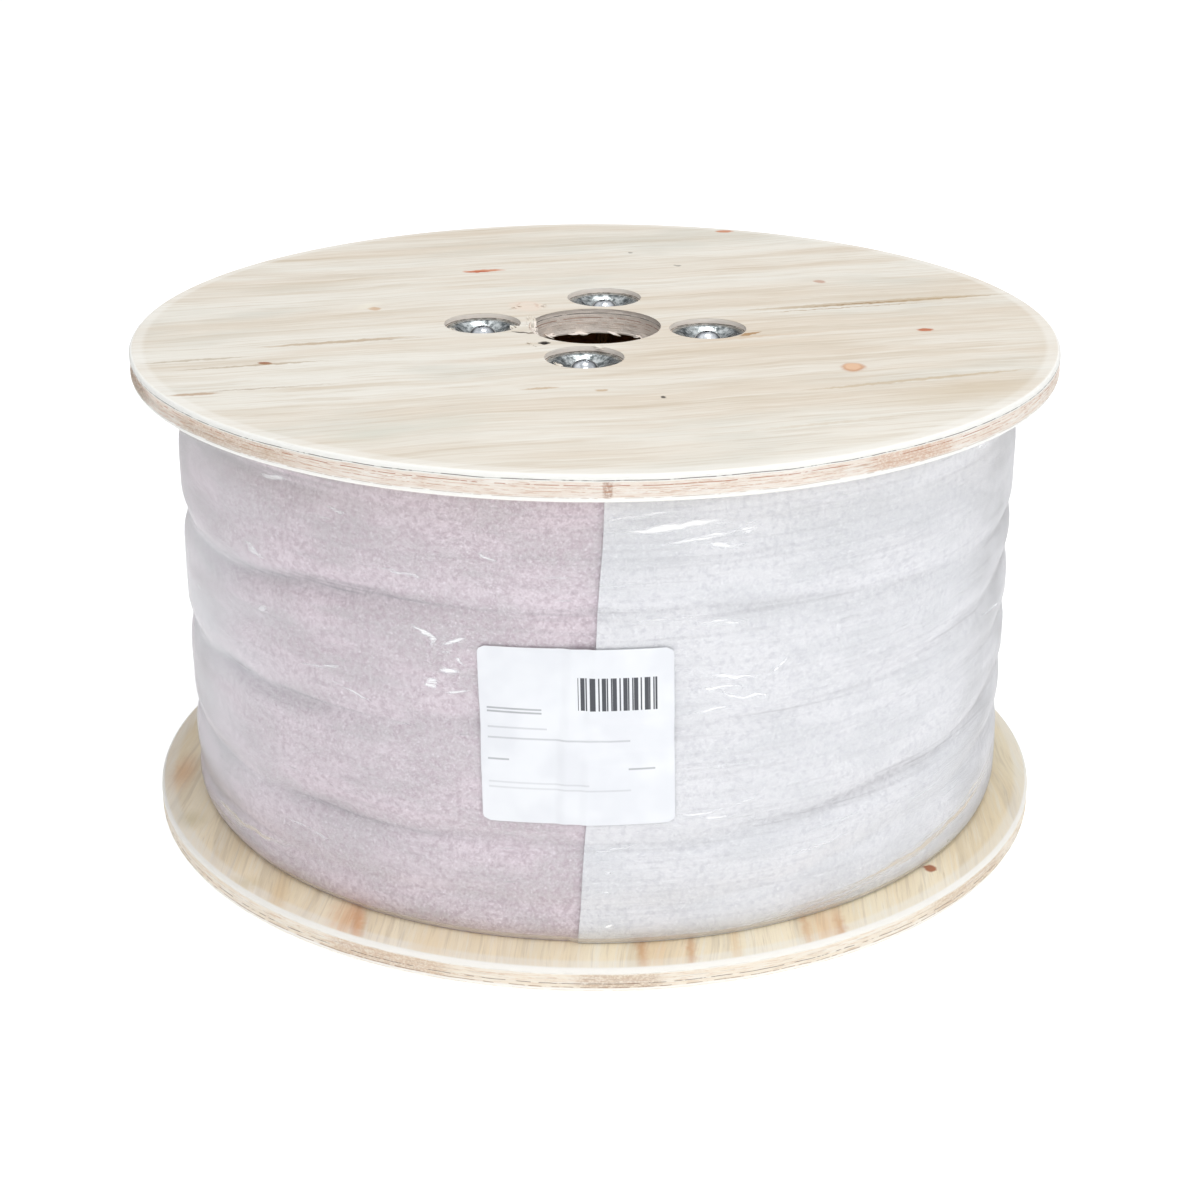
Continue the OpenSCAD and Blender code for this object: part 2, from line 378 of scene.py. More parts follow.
# %% Plywood
def plywood(name, face_z, grain, face_tones, edge_tones, marks, glue, stains):
    """Plywood whose upper face lies at face_z, its grain at an angle from +X in degrees."""
    material, shader, place = new_material(name)
    waves = patches(place, (0.16, 0.16, 1.0), detail=2.0)
    grained = place.node("Mapping", {"vector_type": "TEXTURE"}, {0: place, 2: (0, 0, math.radians(grain))})
    swing = place.node("CombineXYZ", {}, {1: (waves - 0.5) * 0.03})
    grained = place.node("VectorMath", {"operation": "ADD"}, {0: grained, 1: swing})

    broad = patches(grained, (0.34, 0.034, 1.0), detail=4.0, roughness=0.6)
    streaks = patches(grained, (0.12, 0.0045, 1.0), detail=4.0, roughness=0.75, seed=0.31)
    threads = patches(grained, (0.045, 0.0020, 1.0), detail=2.0, roughness=0.7, seed=0.61)
    pores = patches(grained, (0.016, 0.0006, 1.0), detail=3.0, roughness=0.7, seed=0.17)
    dull = patches(grained, (0.10, 0.05, 1.0), detail=3.0, seed=0.73)
    rings = (along(grained, "Y") / 0.024 + broad * 1.8).math("FRACT")
    late_wood = rings ** 4 * step(rings, 1.0, 0.93) * step(dull, 0.62, 0.36)
    growth = late_wood + rings * step(broad, 0.45, 0.60, 0.0, 0.25)
    pale, warm, grey = face_tones
    face = tint(step(broad, 0.36, 0.66), pale, warm)
    face = tint(step(dull, 0.48, 0.74, 0.0, 0.75), face, grey)
    face = tint(growth * 0.50, face, shade(198, 182, 158))
    face = tint(step(streaks, 0.50, 0.72, 0.0, 0.30), face, shade(205, 189, 168))
    face = tint(step(streaks, 0.47, 0.30, 0.0, 0.30), face, shade(238, 235, 226))
    face = tint(step(threads, 0.54, 0.66, 0.0, 0.30), face, shade(196, 180, 158))
    face = tint(step(threads, 0.44, 0.34, 0.0, 0.25), face, shade(244, 241, 233))
    face = tint(step(pores, 0.55, 0.78, 0.0, 0.40), face, shade(186, 170, 148))
    flat = place.node("CombineXYZ", {}, {0: along(place, "X"), 1: along(place, "Y")})
    out = place.node("VectorMath", {"operation": "LENGTH"}, {0: flat}, out=1)
    face = tint(step(out, flange_r - 8 * MM, flange_r - 5 * MM, 0.0, 0.38), face, shade(244, 242, 236))
    blur = patches(place, (0.004, 0.004, 1.0), detail=3.0)
    shaken = place.node("CombineXYZ", {}, {0: (blur - 0.5) * 0.004, 1: (blur - 0.5) * -0.003})
    marked = place.node("VectorMath", {"operation": "ADD"}, {0: place, 1: shaken})
    for x, y, length, width, turn, strength, colour in marks:
        crisp = 0.55 if strength > 0.6 else 0.0
        mask = spot(marked, x * MM, y * MM, length * MM, width * MM, turn, crisp)
        if min(length, width) > 9:
            mask = mask * step(streaks, 0.66, 0.42, 0.35, 1.0)
        face = tint(mask * strength, face, colour)

    depth = (face_z - along(place, "Z")) / MM
    fibres = patches(place, (0.0080, 0.0080, 0.00045), detail=4.0, roughness=0.7, seed=0.57)
    clumps = patches(place, (0.030, 0.030, 0.0016), detail=3.0, roughness=0.6, seed=0.23)
    wobbly = depth + (patches(place, (0.020, 0.020, 0.05), detail=3.0) - 0.5) * 0.9
    clean, core, dark = edge_tones
    t = ply_t / MM
    inner = step(wobbly, t * 1.05, t * 1.45) * step(wobbly, t * 4.05, t * 3.75)
    edge = tint(inner * step(clumps, 0.25, 0.60, 0.35, 1.0), clean, core)
    edge = tint(inner * step(fibres, 0.50, 0.66, 0.0, 0.65), edge, dark)
    edge = tint(inner * step(fibres, 0.46, 0.32, 0.0, 0.60), edge, shade(246, 242, 234))
    edge = tint((1 - inner) * step(fibres, 0.58, 0.80, 0.0, 0.25), edge, shade(205, 190, 170))
    crumbs = patches(place, (0.0013, 0.0013, 0.0009), detail=3.0, roughness=0.7, seed=0.83)
    for x, y, reach, strength, colour in stains:
        mask = spot(place, x * MM, y * MM, reach * MM, reach * MM, 0, 0.6)
        edge = tint(mask * inner * step(crumbs, 0.62, 0.42, 0.25, 1.0) * strength, edge, colour)
    # Painted light: the walls of the bore and of the bolt recesses are lightened where they lie in shade.
    edge = tint(step(out, holes_r + 2 * MM, holes_r, 0.0, 0.78), edge, shade(255, 242, 230))
    # Painted shade: the walls of the knot hole are darkened nearly to black, as a deep hole looks in shade.
    hole = spot(place, knot_place.x, knot_place.y, knot_side, knot_side, 0, 0.8)
    edge = tint(hole * 0.9, edge, shade(40, 33, 28))
    for level, half, strength, colour, gaps in glue:
        near = step(abs(wobbly - level * t), half, half * 0.3)
        breaks = step(patches(place, (0.006, 0.006, 0.05), detail=3.0, seed=level), gaps, gaps + 0.08)
        edge = tint(near * breaks * strength, edge, colour)

    on_face = most(step(depth, 0.55, 0.05), step(depth, flange_t / MM - 0.55, flange_t / MM - 0.05))
    colour = tint(on_face, edge, face)
    feed(colour, shader, "Base Color")
    feed(step(streaks, 0.3, 0.7, 0.62, 0.80), shader, "Roughness")
    shader.inputs["Specular IOR Level"].default_value = 0.28
    torn = fibres * 0.8 + clumps * 0.4 + crumbs * 0.6
    relief = on_face * (pores * 0.35 + streaks * 0.25) + (1 - on_face) * torn
    bump(shader, relief, 0.40 * MM, 0.9)
    return material


# %% Marks on the two flanges
knot_side = 5 * MM
knot_r = bore_r + 3 * MM + knot_side / math.sqrt(2)
knot_turn = math.radians(-128)
knot_place = Vector((knot_r * math.cos(knot_turn), knot_r * math.sin(knot_turn), 0))

knot = shade(150, 92, 58)
soft_brown = shade(190, 160, 124)
dirt = shade(120, 112, 100)
heartwood = shade(205, 150, 100)

top_marks = [
    # x, y, half-length, half-width, turn, strength, colour
    (-57, 106, 12.5, 2.9, 12, 0.90, shade(206, 132, 96)),
    (-60, 104, 7.5, 2.0, 12, 0.90, shade(186, 92, 54)),
    (71, 195, 6.0, 3.4, 5, 0.85, shade(200, 126, 88)),
    (114, -69, 6.6, 8.4, -12, 0.90, shade(196, 142, 104)),
    (114, -68, 4.9, 6.6, -12, 0.85, shade(228, 192, 160)),
    (154, -7, 4.8, 3.0, 10, 0.95, shade(190, 112, 76)),
    (-146, -63, 4.4, 2.8, -25, 0.95, knot),
    (-146, -64, 22.0, 3.6, 14, 0.30, soft_brown),
    (3, -104, 3.6, 2.2, 15, 0.70, soft_brown),
    (-23, -101, 10.0, 1.5, 12, 0.65, soft_brown),
    (-106, 31, 4.4, 3.4, -35, 0.65, shade(200, 160, 118)),
    (-110, 36, 14.0, 6.0, 60, 0.50, shade(238, 233, 216)),
    (113, 84, 3.2, 3.8, 40, 0.75, shade(190, 148, 128)),
    (43, 117, 2.2, 1.8, 0, 0.65, dirt),
    (29, -114, 1.5, 2.0, 0, 0.95, shade(84, 78, 70)),
    (19, 145, 1.4, 1.8, 0, 0.65, dirt),
    (60, -10, 1.0, 1.4, 0, 0.70, dirt),
    (134, 43, 78.0, 4.0, 14, 0.70, shade(190, 170, 142)),
    (126, 50, 88.0, 10.0, 14, 0.50, shade(196, 176, 148)),
    (150, 46, 64.0, 1.3, 14, 0.85, shade(160, 132, 98)),
    (120, 33, 52.0, 0.9, 14, 0.65, shade(176, 150, 118)),
    (170, 52, 46.0, 9.0, 15, 0.50, shade(200, 180, 150)),
    (-137, -100, 46.0, 1.4, 13, 0.50, shade(170, 148, 122)),
    (-150, -103, 22.0, 0.9, 13, 0.48, shade(150, 126, 102)),
    (-170, -110, 13.0, 2.4, 10, 0.70, shade(176, 142, 110)),
    (-118, -28, 42.0, 2.6, 15, 0.75, shade(188, 166, 138)),
    (-96, -24, 30.0, 1.0, 14, 0.48, shade(162, 138, 110)),
    (-150, -66, 40.0, 1.4, 14, 0.65, shade(178, 160, 134)),
    (-91, -164, 26.0, 17.0, 30, 0.60, shade(206, 206, 192)),
    (-60, -150, 34.0, 14.0, 20, 0.55, shade(210, 208, 194)),
    (-150, 70, 46.0, 12.0, 12, 0.58, shade(204, 194, 176)),
    (-120, 96, 60.0, 5.0, 12, 0.55, shade(202, 190, 172)),
    (-178, -58, 30.0, 1.6, 14, 0.65, shade(182, 168, 146)),
    (-30, -52, 78.0, 7.0, 14, 0.45, shade(206, 186, 164)),
    (70, -20, 62.0, 3.0, 16, 0.55, shade(206, 180, 150)),
    (60, -34, 84.0, 9.0, 15, 0.45, shade(210, 192, 168)),
    (72, -14, 8.0, 1.8, 38, 0.90, shade(170, 132, 88)),
    (160, -105, 60.0, 20.0, 22, 0.60, shade(202, 186, 160)),
    (140, -88, 66.0, 2.0, 18, 0.65, shade(196, 176, 146)),
    (96, -150, 62.0, 2.4, 17, 0.50, shade(204, 188, 164)),
    (130, 150, 60.0, 12.0, 14, 0.42, shade(204, 186, 164)),
    (20, 170, 110.0, 4.0, 11, 0.50, shade(200, 188, 168)),
    (-60, 165, 90.0, 7.0, 12, 0.42, shade(202, 194, 178)),
    (-20, 128, 70.0, 2.2, 12, 0.50, shade(200, 184, 160)),
    (-33, 36, 10.5, 12.5, 25, 0.70, shade(232, 214, 198)),
    (-28, 37, 1.3, 7.0, 10, 0.60, shade(206, 178, 158)),
    (-37, 40, 1.0, 5.0, -20, 0.60, shade(214, 188, 170)),
    (-34.2, -11.5, 4.6, 1.2, -14, 0.95, shade(70, 58, 48)),
    (-29.4, -12.6, 3.0, 2.0, 20, 0.80, shade(120, 100, 84)),
]
bottom_marks = [
    (98, -180, 13.0, 30.0, 2, 0.55, shade(222, 176, 124)),
    (106, -180, 4.0, 30.0, 2, 0.58, shade(204, 148, 98)),
    (91, -180, 3.0, 28.0, 2, 0.50, shade(212, 162, 112)),
    (30, -200, 17.0, 26.0, 2, 0.45, shade(226, 186, 138)),
    (20, -200, 4.0, 26.0, 2, 0.60, shade(202, 148, 100)),
    (41, -200, 3.4, 26.0, 0, 0.60, shade(204, 150, 102)),
    (-108, -174, 12.0, 30.0, 3, 0.60, shade(218, 160, 108)),
    (-103, -174, 5.0, 28.0, 3, 0.60, shade(206, 138, 86)),
    (-202, -30, 9.0, 30.0, 0, 0.58, shade(214, 162, 112)),
    (-70, -196, 14.0, 30.0, 0, 0.40, shade(230, 202, 158)),
    (-140, -152, 6.0, 34.0, 0, 0.50, shade(226, 196, 150)),
    (60, -193, 4.0, 34.0, 0, 0.50, shade(228, 196, 152)),
    (-190, -80, 10.0, 14.0, 20, 0.45, shade(190, 176, 130)),
    (-158, -142, 14.0, 10.0, 0, 0.45, shade(200, 182, 134)),
    (152, -128, 3.6, 4.4, 20, 0.90, shade(168, 96, 60)),
    (140, 120, 8.0, 40.0, 3, 0.50, heartwood),
    (-60, 190, 14.0, 24.0, -2, 0.45, heartwood),
    (-150, 110, 4.0, 5.0, 10, 0.85, knot),
]
top_glue = [
    # level in plies, half-width in mm, strength, colour, share that is broken off
    (1.0, 0.26, 0.95, shade(104, 98, 92), 0.42),
    (1.0, 0.13, 0.80, shade(120, 110, 100), 0.20),
    (1.9, 0.24, 0.90, shade(176, 112, 78), 0.42),
    (2.4, 0.18, 0.70, shade(204, 158, 128), 0.46),
    (3.0, 0.18, 0.75, shade(196, 146, 112), 0.46),
    (4.0, 0.17, 0.70, shade(172, 142, 118), 0.42),
]
bottom_glue = [
    (1.1, 0.10, 0.45, shade(176, 168, 156), 0.46),
    (2.2, 0.14, 0.55, shade(170, 152, 134), 0.46),
    (3.1, 0.22, 0.90, shade(128, 100, 84), 0.44),
    (3.8, 0.22, 0.85, shade(150, 112, 84), 0.42),
    (4.4, 0.14, 0.60, shade(176, 148, 120), 0.42),
]
top_stains = [
    # x, y, reach, strength and colour of torn or stained wood in the cut edges
    (-213, -36, 74, 0.80, shade(158, 134, 112)),
    (-150, -152, 46, 0.50, shade(196, 168, 140)),
    (5, -215, 2.4, 0.60, shade(150, 96, 62)),
    (128, -172, 26, 0.50, shade(200, 152, 118)),
]
bottom_stains = [
    (-90, -195, 34, 0.45, shade(190, 146, 106)),
    (10, -215, 22, 0.45, shade(170, 130, 96)),
    (170, -130, 40, 0.45, shade(192, 160, 124)),
]
top_ply = plywood(
    "top_plywood", top_high.z, 14,
    (shade(231, 227, 217), shade(221, 210, 194), shade(212, 209, 198)),
    (shade(247, 246, 241), shade(236, 224, 211), shade(200, 160, 134)),
    top_marks, top_glue, top_stains,
)
bottom_ply = plywood(
    "bottom_plywood", bottom_high.z, 88,
    (shade(246, 234, 208), shade(240, 223, 190), shade(238, 228, 202)),
    (shade(250, 247, 240), shade(243, 232, 214), shade(212, 180, 148)),
    bottom_marks, bottom_glue, bottom_stains,
)
print("plywood with", len(top_marks), "and", len(bottom_marks), "marks")

# %% [markdown]
# ## Flanges
#
# A flange is a disc with rounded edges. It could be turned, but its holes are bored afterwards, as in a
# workshop: the disc is a cylinder whose rims are bevelled and whose wall is subdivided, and each hole is
# cut by a tool that is turned to the shape of the recess, the dish's seat and the bolt's hole. Beside the
# bore of the upper flange a small square hole shows where a knot fell out. Then the wood of the cut edges
# is roughened, with long fibres round the rim, while the flat faces stay flat.

# %% The disc
def disc(name, low, high):
    """A disc with rounded rims and a finely divided wall."""
    bpy.ops.object.select_all(action="DESELECT")
    bpy.ops.mesh.primitive_cylinder_add(
        vertices=720, radius=flange_r, depth=high - low, location=(0, 0, (low + high) / 2))
    piece = leave_as(bpy.context.object, name)
    pick(piece, "EDGE", lambda points: abs(points[0].z - points[1].z) < 0.1 * MM)
    bpy.ops.mesh.bevel(offset=flange_edge_r, segments=5, affect="EDGES")
    leave(piece)
    pick(piece, "EDGE", lambda points: abs(points[0].z - points[1].z) > 4 * MM)
    bpy.ops.mesh.subdivide(number_cuts=11)
    return leave(piece)


# %% The tools that cut it
def bolt_tool(face_z):
    """The recess, the dish's seat and the bolt's hole, seen from the face inwards."""
    down = [
        (recess_r, 1.0),
        (recess_r, -3.5),
        (13.7 * MM, -3.5),
        (7.95 * MM, -6.5),
        (6.8 * MM, -6.5),
        (6.8 * MM, -14.0),
    ]
    return turned("bolt_tool", [(r, face_z + z * MM) for r, z in down], 96)


def bore_tool(low, high):
    rings = 15
    heights = [low - MM + (high - low + 2 * MM) * i / rings for i in range(rings + 1)]
    return turned("bore_tool", [(bore_r, z) for z in heights], 240)


def groove_tool(low, depth):
    """The ring in the inner face that the barrel's end stands in."""
    groove_clear = 0.3 * MM
    barrel_wall = 6 * MM
    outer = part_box("barrel")[1].x + groove_clear
    inner = outer - barrel_wall - 2 * groove_clear
    corners = [(inner, low - MM), (outer, low - MM), (outer, low + depth), (inner, low + depth)]
    return turned("groove_tool", corners + corners[:1], 192)


def turned_over(tool, height):
    """Turns a tool over, from the drum's top to its bottom."""
    only(tool)
    tool.rotation_euler = (math.pi, 0, 0)
    tool.location = (0, 0, height)
    return leave(tool)


# %% Roughening the cut wood
def roughen(piece, weight, strength, size, seed):
    """Presses a surface in along its normals, by noise whose patches have a size on each axis."""
    group = piece.vertex_groups.new(name="rough")
    for vertex in piece.data.vertices:
        share = weight(vertex.co)
        if share > 0:
            group.add([vertex.index], share, "REPLACE")
    texture = bpy.data.textures.new("fibres", "CLOUDS")
    texture.noise_scale = 1.0
    texture.noise_depth = 3
    ruler = bpy.data.objects.new("ruler", None)
    ruler.location = (seed, seed, seed)
    ruler.scale = size
    bpy.context.scene.collection.objects.link(ruler)
    bpy.context.view_layer.update()
    apply_modifier(
        piece, "DISPLACE", texture=texture, texture_coords="OBJECT", texture_coords_object=ruler,
        vertex_group="rough", strength=strength, mid_level=1.0)
    bpy.data.objects.remove(ruler)
    bpy.data.textures.remove(texture)
    piece.vertex_groups.clear()
    return piece


def plies_at(point, face_z):
    """How deep a point lies below the upper face, in plies."""
    return (face_z - point.z) / ply_t


def rim_weight(face_z, torn_at):
    """How rough the rim is: most in the inner plies, and where the router tore the wood."""
    def weight(point):
        radius = math.hypot(point.x, point.y)
        if radius < flange_r - 0.6 * MM:
            return 0
        deep = plies_at(point, face_z)
        inner = max(0, 1 - abs(deep - 2.6) / 1.9)
        turn = math.degrees(math.atan2(point.y, point.x))
        torn = sum(math.exp(-(((turn - at + 180) % 360 - 180) / wide) ** 2) for at, wide in torn_at)
        return min(1, inner * (0.28 + 0.8 * torn))
    return weight


def bore_weight(face_z):
    """The bore wall is rough all over, apart from its edges, so that the flat faces stay flat."""
    def weight(point):
        radius = math.hypot(point.x, point.y)
        deep = face_z - point.z
        on_wall = abs(radius - bore_r) < 0.3 * MM and 0.6 * MM < deep < flange_t - 0.6 * MM
        return 1 if on_wall else 0
    return weight


# %% The two flanges
def bored(piece, low, high, upside_down):
    """Bores the arbor hole, the four bolt holes and the barrel's groove."""
    cut_away(piece, bore_tool(low, high))
    for place in bolt_places:
        tool = bolt_tool(high)
        if upside_down:
            turned_over(tool, low + high)
        only(tool)
        tool.location = (place.x, place.y, 0)
        leave(tool)
        cut_away(piece, tool)
    groove = groove_tool(low, 4 * MM)
    if upside_down:
        turned_over(groove, low + high)
    cut_away(piece, groove)
    return piece


def veneered(piece, ply, node):
    """Shades a flange so that its flat faces look flat, and gives it its plywood."""
    smooth(piece, 40)
    apply_modifier(piece, "WEIGHTED_NORMAL", keep_sharp=True, weight=100)
    piece.data.materials.clear()
    piece.data.materials.append(ply)
    return finished(piece, "flange_plywood", node)


top_flange = bored(disc("top_flange", top_low.z, top_high.z), top_low.z, top_high.z, False)
bpy.ops.object.select_all(action="DESELECT")
bpy.ops.mesh.primitive_cylinder_add(
    vertices=4, radius=knot_side / math.sqrt(2), depth=4 * flange_t,
    location=(knot_place.x, knot_place.y, top_high.z))
knot_tool = leave_as(bpy.context.object, "knot_tool")
pick(knot_tool, "EDGE", lambda points: abs(points[0].z - points[1].z) > MM)
bpy.ops.mesh.bevel(offset=1.1 * MM, segments=2, affect="EDGES")
cut_away(top_flange, leave(knot_tool))
roughen(top_flange, rim_weight(top_high.z, [(-172, 26), (-140, 14), (-60, 6)]), 1.7 * MM,
        (0.0045, 0.0045, 0.0009), 0.4)
roughen(top_flange, bore_weight(top_high.z), 0.8 * MM, (0.004, 0.004, 0.0010), 0.9)
veneered(top_flange, top_ply, "flange_top")

bottom_flange = bored(
    disc("bottom_flange", bottom_low.z, bottom_high.z), bottom_low.z, bottom_high.z, True)
roughen(bottom_flange, rim_weight(bottom_high.z, [(-120, 18), (-60, 10), (100, 20)]), 1.0 * MM,
        (0.0050, 0.0050, 0.0009), 0.7)
roughen(bottom_flange, bore_weight(bottom_high.z), 0.5 * MM, (0.004, 0.004, 0.0010), 0.2)
veneered(bottom_flange, bottom_ply, "flange_bottom")

# %% [markdown]
# ## Splinters
#
# A blunt cutter tears the soft plies where it enters and leaves them, so slivers stand out from the holes'
# rims. One sliver is modelled as a flat rod with its ends drawn to points. Copies are turned, scaled and
# scattered in small groups, by a seeded generator, and then joined into one piece.

# %% One sliver
import random


def sliver_pattern():
    """A sliver along X, one unit long, wide and thick."""
    bpy.ops.object.select_all(action="DESELECT")
    bpy.ops.mesh.primitive_cylinder_add(vertices=6, radius=0.5, depth=1, rotation=(0, math.pi / 2, 0))
    piece = leave_as(bpy.context.object, "sliver_pattern")
    pick(piece, "EDGE", lambda points: abs(points[0].x - points[1].x) > 0.5)
    bpy.ops.mesh.subdivide(number_cuts=3)
    leave(piece)
    for side in (-1, 1):
        for start, share in ((0.4, 0.15), (0.2, 0.70)):
            pick(piece, "VERT", lambda points: start < points[0].x * side < start + 0.18)
            bpy.ops.transform.resize(value=(1, share, share))
            leave(piece)
    return piece


# %% Groups of slivers
def scattered(name, groups, seed):
    """Copies of the sliver in groups, joined into one piece."""
    chance = random.Random(seed)
    pattern = sliver_pattern()
    chips = []
    for x, y, below, spread, count, length, heading, droop in groups:
        for _ in range(count):
            chip = placed_copy(pattern, name, (0, 0, 0))
            chip.scale = (
                length * chance.uniform(0.5, 1.2) * MM,
                chance.uniform(0.8, 2.4) * MM,
                chance.uniform(0.3, 0.8) * MM,
            )
            chip.rotation_euler = (
                chance.uniform(-0.5, 0.5),
                math.radians(droop + chance.uniform(-18, 18)),
                math.radians(heading + chance.uniform(-25, 25)),
            )
            chip.location = (
                (x + chance.uniform(-spread, spread)) * MM,
                (y + chance.uniform(-spread, spread)) * MM,
                top_high.z - (below + chance.uniform(-0.3, 0.3)) * MM,
            )
            chips.append(leave(chip))
    bpy.data.objects.remove(pattern)
    for chip in chips:
        chip.select_set(True)
    bpy.ops.object.join()
    return bpy.context.object


left_bolt = min(bolt_places, key=lambda p: p.x) / MM
front_bolt = min(bolt_places, key=lambda p: p.y) / MM
splinter_groups = [
    # x, y and depth below the face, spread, count, length, heading and droop in degrees
    (-29.0, 9.0, 0.8, 2.4, 10, 8.0, -80, 40),
    (-30.0, -2.0, 2.0, 2.0, 12, 8.5, -85, 50),
    (-27.5, -11.0, 3.0, 2.0, 11, 8.0, -60, 50),
    (-22.0, -20.0, 5.0, 2.0, 5, 5.0, -40, 60),
    (-22.0, 21.5, 10.8, 2.5, 6, 6.0, 40, 10),
    (-8.0, 29.5, 11.4, 3.0, 7, 7.0, 10, 8),
    (8.0, 29.5, 11.4, 3.0, 6, 6.0, -8, 8),
    (22.0, 21.5, 11.0, 2.5, 5, 5.0, -40, 10),
    (-27.5, -33.0, 0.1, 2.2, 9, 5.0, -35, 4),
    (-26.5, 37.0, 0.0, 2.6, 7, 7.0, 70, 5),
    (-35.0, 35.0, 0.1, 3.0, 5, 8.0, 20, 2),
    (left_bolt.x + 15.5, left_bolt.y - 7.0, 0.3, 1.6, 7, 4.5, -50, 20),
    (left_bolt.x - 14.0, left_bolt.y - 9.5, 0.3, 1.4, 5, 4.0, 40, 20),
    (front_bolt.x + 7.0, front_bolt.y + 15.5, 0.2, 2.6, 6, 6.0, -15, 10),
    (front_bolt.x - 12.0, front_bolt.y - 12.0, 0.3, 1.4, 5, 4.0, -40, 20),
]
splinters = scattered("splinters", splinter_groups, 11)
splinters.name = splinters.data.name = "splinters"
splinters.data.materials.append(top_ply)
finished(splinters, "flange_plywood")

# %% [markdown]
# ## Bolts, nuts and washers
#
# The washers are pressed from galvanised sheet: a flat rim, a rounded shoulder and a bowl. Each holds the
# domed head of a tie bolt, with a cross recess. All are turned, and the recess is cut by two tapered bars.

# %% Metal
def axis_map(piece):
    """A UV map that holds each point's place across the piece's own axis, in metres."""
    layer = piece.data.uv_layers.new(name="from_axis")
    for loop in piece.data.loops:
        point = piece.data.vertices[loop.vertex_index].co
        layer.data[loop.index].uv = (point.x, point.y)
    return piece


def metal(name, tones, rough, rays, grain):
    """Zinc on steel: rays from the pressing, soft cloudy patches and fine scratches."""
    material, shader, place = new_material(name)
    across = place.node("UVMap", {"uv_map": "from_axis"})
    outward = across.node("VectorMath", {"operation": "NORMALIZE"}, {0: across})
    fan = outward.node("CombineXYZ", {}, {
        0: along(outward, "X"), 1: along(outward, "Y"), 2: along(place, "X") * 9 + along(place, "Y") * 7})
    streaks = patches(fan, (rays, rays, 0.5), detail=3.0, roughness=0.65)
    clouds = patches(place, (grain, grain, grain), detail=3.0, roughness=0.6)
    specks = patches(place, (0.0005, 0.0005, 0.0005), detail=2.0, seed=0.4)
    dark, light = tones
    feed(tint(step(streaks * 0.35 + clouds * 0.65, 0.38, 0.60), dark, light), shader, "Base Color")
    dullness = step(clouds, 0.30, 0.72, rough, rough + 0.12) + step(specks, 0.6, 0.8, 0.0, 0.06)
    feed(dullness, shader, "Roughness")
    shader.inputs["Metallic"].default_value = 1.0
    bump(shader, streaks * 0.25 + clouds * 0.6 + specks * 0.1, 0.35 * MM, 0.5)
    return material


zinc_sheet = metal("galvanised_sheet", (shade(98, 105, 106), shade(206, 211, 211)), 0.20, 0.34, 0.0026)
zinc_steel = metal("zinc_plated_steel", (shade(178, 182, 186), shade(228, 231, 234)), 0.10, 0.90, 0.0030)

# %% Washers
def washer(name, hole_r):
    """A dished washer about Z, with the upper face of its rim at height 0."""
    upper = [
        (washer_r - 0.25 * MM, 0.0),
        (14.6 * MM, 0.0),
        (13.7 * MM, -0.10 * MM),
        (12.8 * MM, -0.42 * MM),
        (11.6 * MM, -1.10 * MM),
        (10.4 * MM, -1.85 * MM),
        (9.3 * MM, -2.45 * MM),
        (8.3 * MM, -2.82 * MM),
        (7.4 * MM, -dish_depth),
        (hole_r, -dish_depth),
    ]
    lower = [(r, z - washer_t) for r, z in reversed(upper[:-1])]
    rim = [(washer_r, -washer_t + 0.3 * MM), (washer_r, -0.25 * MM)]
    profile = upper + [(hole_r, -dish_depth - washer_t)] + lower + rim + upper[:1]
    return axis_map(smooth(turned(name, profile, 128), 50))


top_washer = washer("washer_pattern", 4.3 * MM)
low_washer = washer("low_washer_pattern", 5.55 * MM)
for i, place in zip(bolts, bolt_places):
    for pattern, side, height, over in (
        (top_washer, "top", washer_rim_z, False),
        (low_washer, "bottom", top_high.z - washer_rim_z, True),
    ):
        ring = placed_copy(pattern, f"{side}_washer_{i}", (place.x, place.y, height), over)
        ring.data.materials.append(zinc_sheet)
        finished(ring, "galvanised_sheet", f"washer_{side}_{i}")
bpy.data.objects.remove(top_washer)
bpy.data.objects.remove(low_washer)

# %% Bolts and nuts
head_r = 6.5 * MM
head_h = 4.0 * MM
head_rim = 0.8 * MM


def dome(steps=9):
    """The profile of a domed head, from its rim to near its top."""
    rise = head_h - head_rim
    dome_r = (rise * rise + head_r * head_r) / (2 * rise)
    widest = math.degrees(math.asin(head_r / dome_r))
    return arc((0, head_h - dome_r), dome_r, 90 - widest, 88.5, steps)


def cross_cut(piece):
    """Cuts a cross recess into a head, with sides that lean in towards its floor."""
    for turn in (45, 135):
        bpy.ops.object.select_all(action="DESELECT")
        bpy.ops.mesh.primitive_cube_add(size=1, location=(0, 0, head_h - 0.6 * MM))
        bar = bpy.context.object
        bar.scale = (7.0 * MM, 1.6 * MM, 3.2 * MM)
        leave(bar)
        pick(bar, "FACE", lambda points: all(p.z < head_h - MM for p in points))
        bpy.ops.transform.resize(value=(0.45, 0.70, 1))
        leave(bar)
        bar.rotation_euler = (0, 0, math.radians(turn))
        leave(bar)
        cut_away(piece, bar)
    apply_modifier(piece, "BEVEL", width=0.12 * MM, segments=2, limit_method="ANGLE",
                   angle_limit=math.radians(38))
    return smooth(piece, 38)


seat_z = washer_rim_z - dish_depth
shank_r = 4.0 * MM
shank_l = seat_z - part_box("tie_bolt_1")[0].z
bolt_profile = [(shank_r - 0.8 * MM, -shank_l), (shank_r, -shank_l + 0.8 * MM), (shank_r, -0.3 * MM),
                (shank_r + 0.3 * MM, 0.0), (head_r - 0.2 * MM, 0.0), (head_r, 0.2 * MM)]
bolt_pattern = turned("bolt_pattern", bolt_profile + dome(), 64)
axis_map(cross_cut(bolt_pattern))

